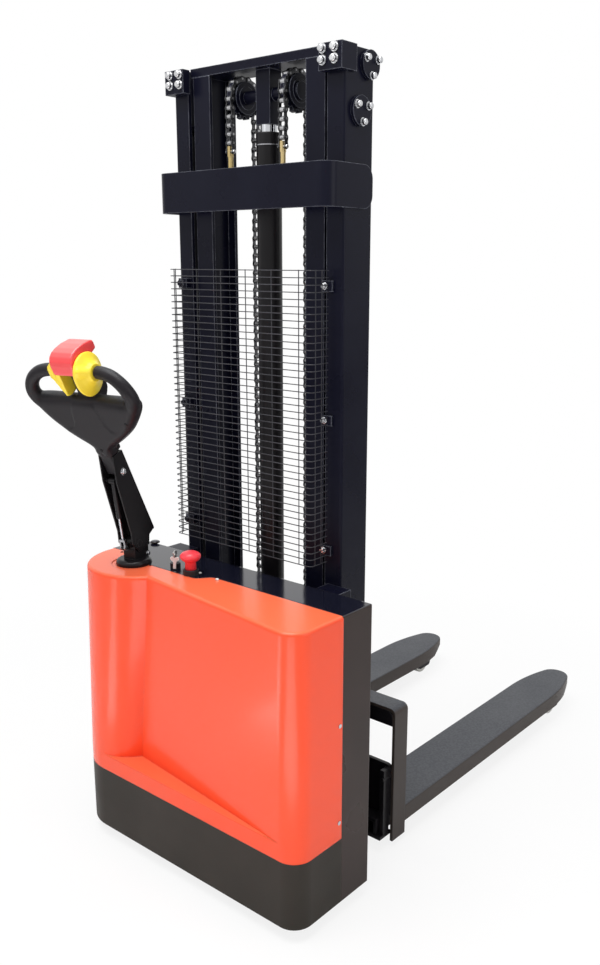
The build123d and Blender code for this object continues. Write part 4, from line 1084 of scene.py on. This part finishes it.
floorFade = rampNode(floorTree, floorReach.outputs["Value"], *studioSpec["glow"], *studioSpec["glowReach"])
floorRays = floorTree.nodes.new("ShaderNodeLightPath")
floorShare = mathNode(floorTree, "MULTIPLY", floorRays.outputs["Is Camera Ray"], floorFade)
mixShaders(floorTree, floorShare, floorSurface.outputs["BSDF"], floorGlow.outputs["Emission"],
           "Material Output")
bpy.ops.mesh.primitive_plane_add(size=studioSpec["floorSize"], location=(0, 0, studioSpec["floorZ"]))
floor = bpy.context.object
floor.name = "studioFloor"
floor.data.materials.append(floorFinish)

world = bpy.data.worlds.new("studioWorld")
scene.world = world
world.use_nodes = True
worldTree = world.node_tree
background = worldTree.nodes["Background"]
background.inputs["Color"].default_value = (1, 1, 1, 1)
background.inputs["Strength"].default_value = studioSpec["worldLight"]
whiteBack = worldTree.nodes.new("ShaderNodeBackground")
whiteBack.inputs["Color"].default_value = (1, 1, 1, 1)
whiteBack.inputs["Strength"].default_value = 1
rays = worldTree.nodes.new("ShaderNodeLightPath")
seenRays = mathNode(worldTree, "MAXIMUM", rays.outputs["Is Camera Ray"], rays.outputs["Is Glossy Ray"])
mixShaders(worldTree, seenRays, background.outputs["Background"], whiteBack.outputs["Background"],
           "World Output")


def softLamp(name, place, target, size, power):
    lampData = bpy.data.lights.new(name, "AREA")
    lampData.shape = "RECTANGLE"
    lampData.size = size[0]
    lampData.size_y = size[1]
    lampData.energy = power
    lamp = bpy.data.objects.new(name, lampData)
    direction = Vector(target) - Vector(place)
    lamp.matrix_world = Matrix.Translation(place) @ direction.to_track_quat("-Z", "Y").to_matrix().to_4x4()
    scene.collection.objects.link(lamp)
    return lamp


# A long lamp lying on the floor, for the upright sheen that a satin cover shows from above.
def floorStrip(name, place, turn, size, power):
    lamp = softLamp(name, place, (place[0], place[1], 2), size, power)
    lamp.matrix_world = (Matrix.Translation(place) @ Matrix.Rotation(math.radians(turn), 4, "Z")
                         @ Matrix.Rotation(math.pi, 4, "X"))
    lamp.visible_camera = False


lampSpec = {
    "keyLamp": {"place": (-1.2, -3.6, 3.4), "target": (0, -0.1, 0.7), "size": (2.4, 2.4), "power": 18},
    "sideLamp": {"place": (3.8, 0.6, 2.2), "target": (0.2, 0.1, 0.9), "size": (2.0, 2.6), "power": 28},
    "topLamp": {"place": (0, -0.9, 4.5), "target": (0, -0.2, 0), "size": (3, 3), "power": 180},
}
stripSpec = {
    "leftStrip": {"place": (-0.62, -1.66, 0.01), "turn": -12, "size": (0.34, 1.66), "power": 6.2},
    "rightStrip": {"place": (0.9, -1.36, 0.01), "turn": 29, "size": (1.0, 1.3), "power": 12},
}
for name, spec in lampSpec.items():
    softLamp(name, **spec)
for name, spec in stripSpec.items():
    floorStrip(name, **spec)
print("stage: studio")
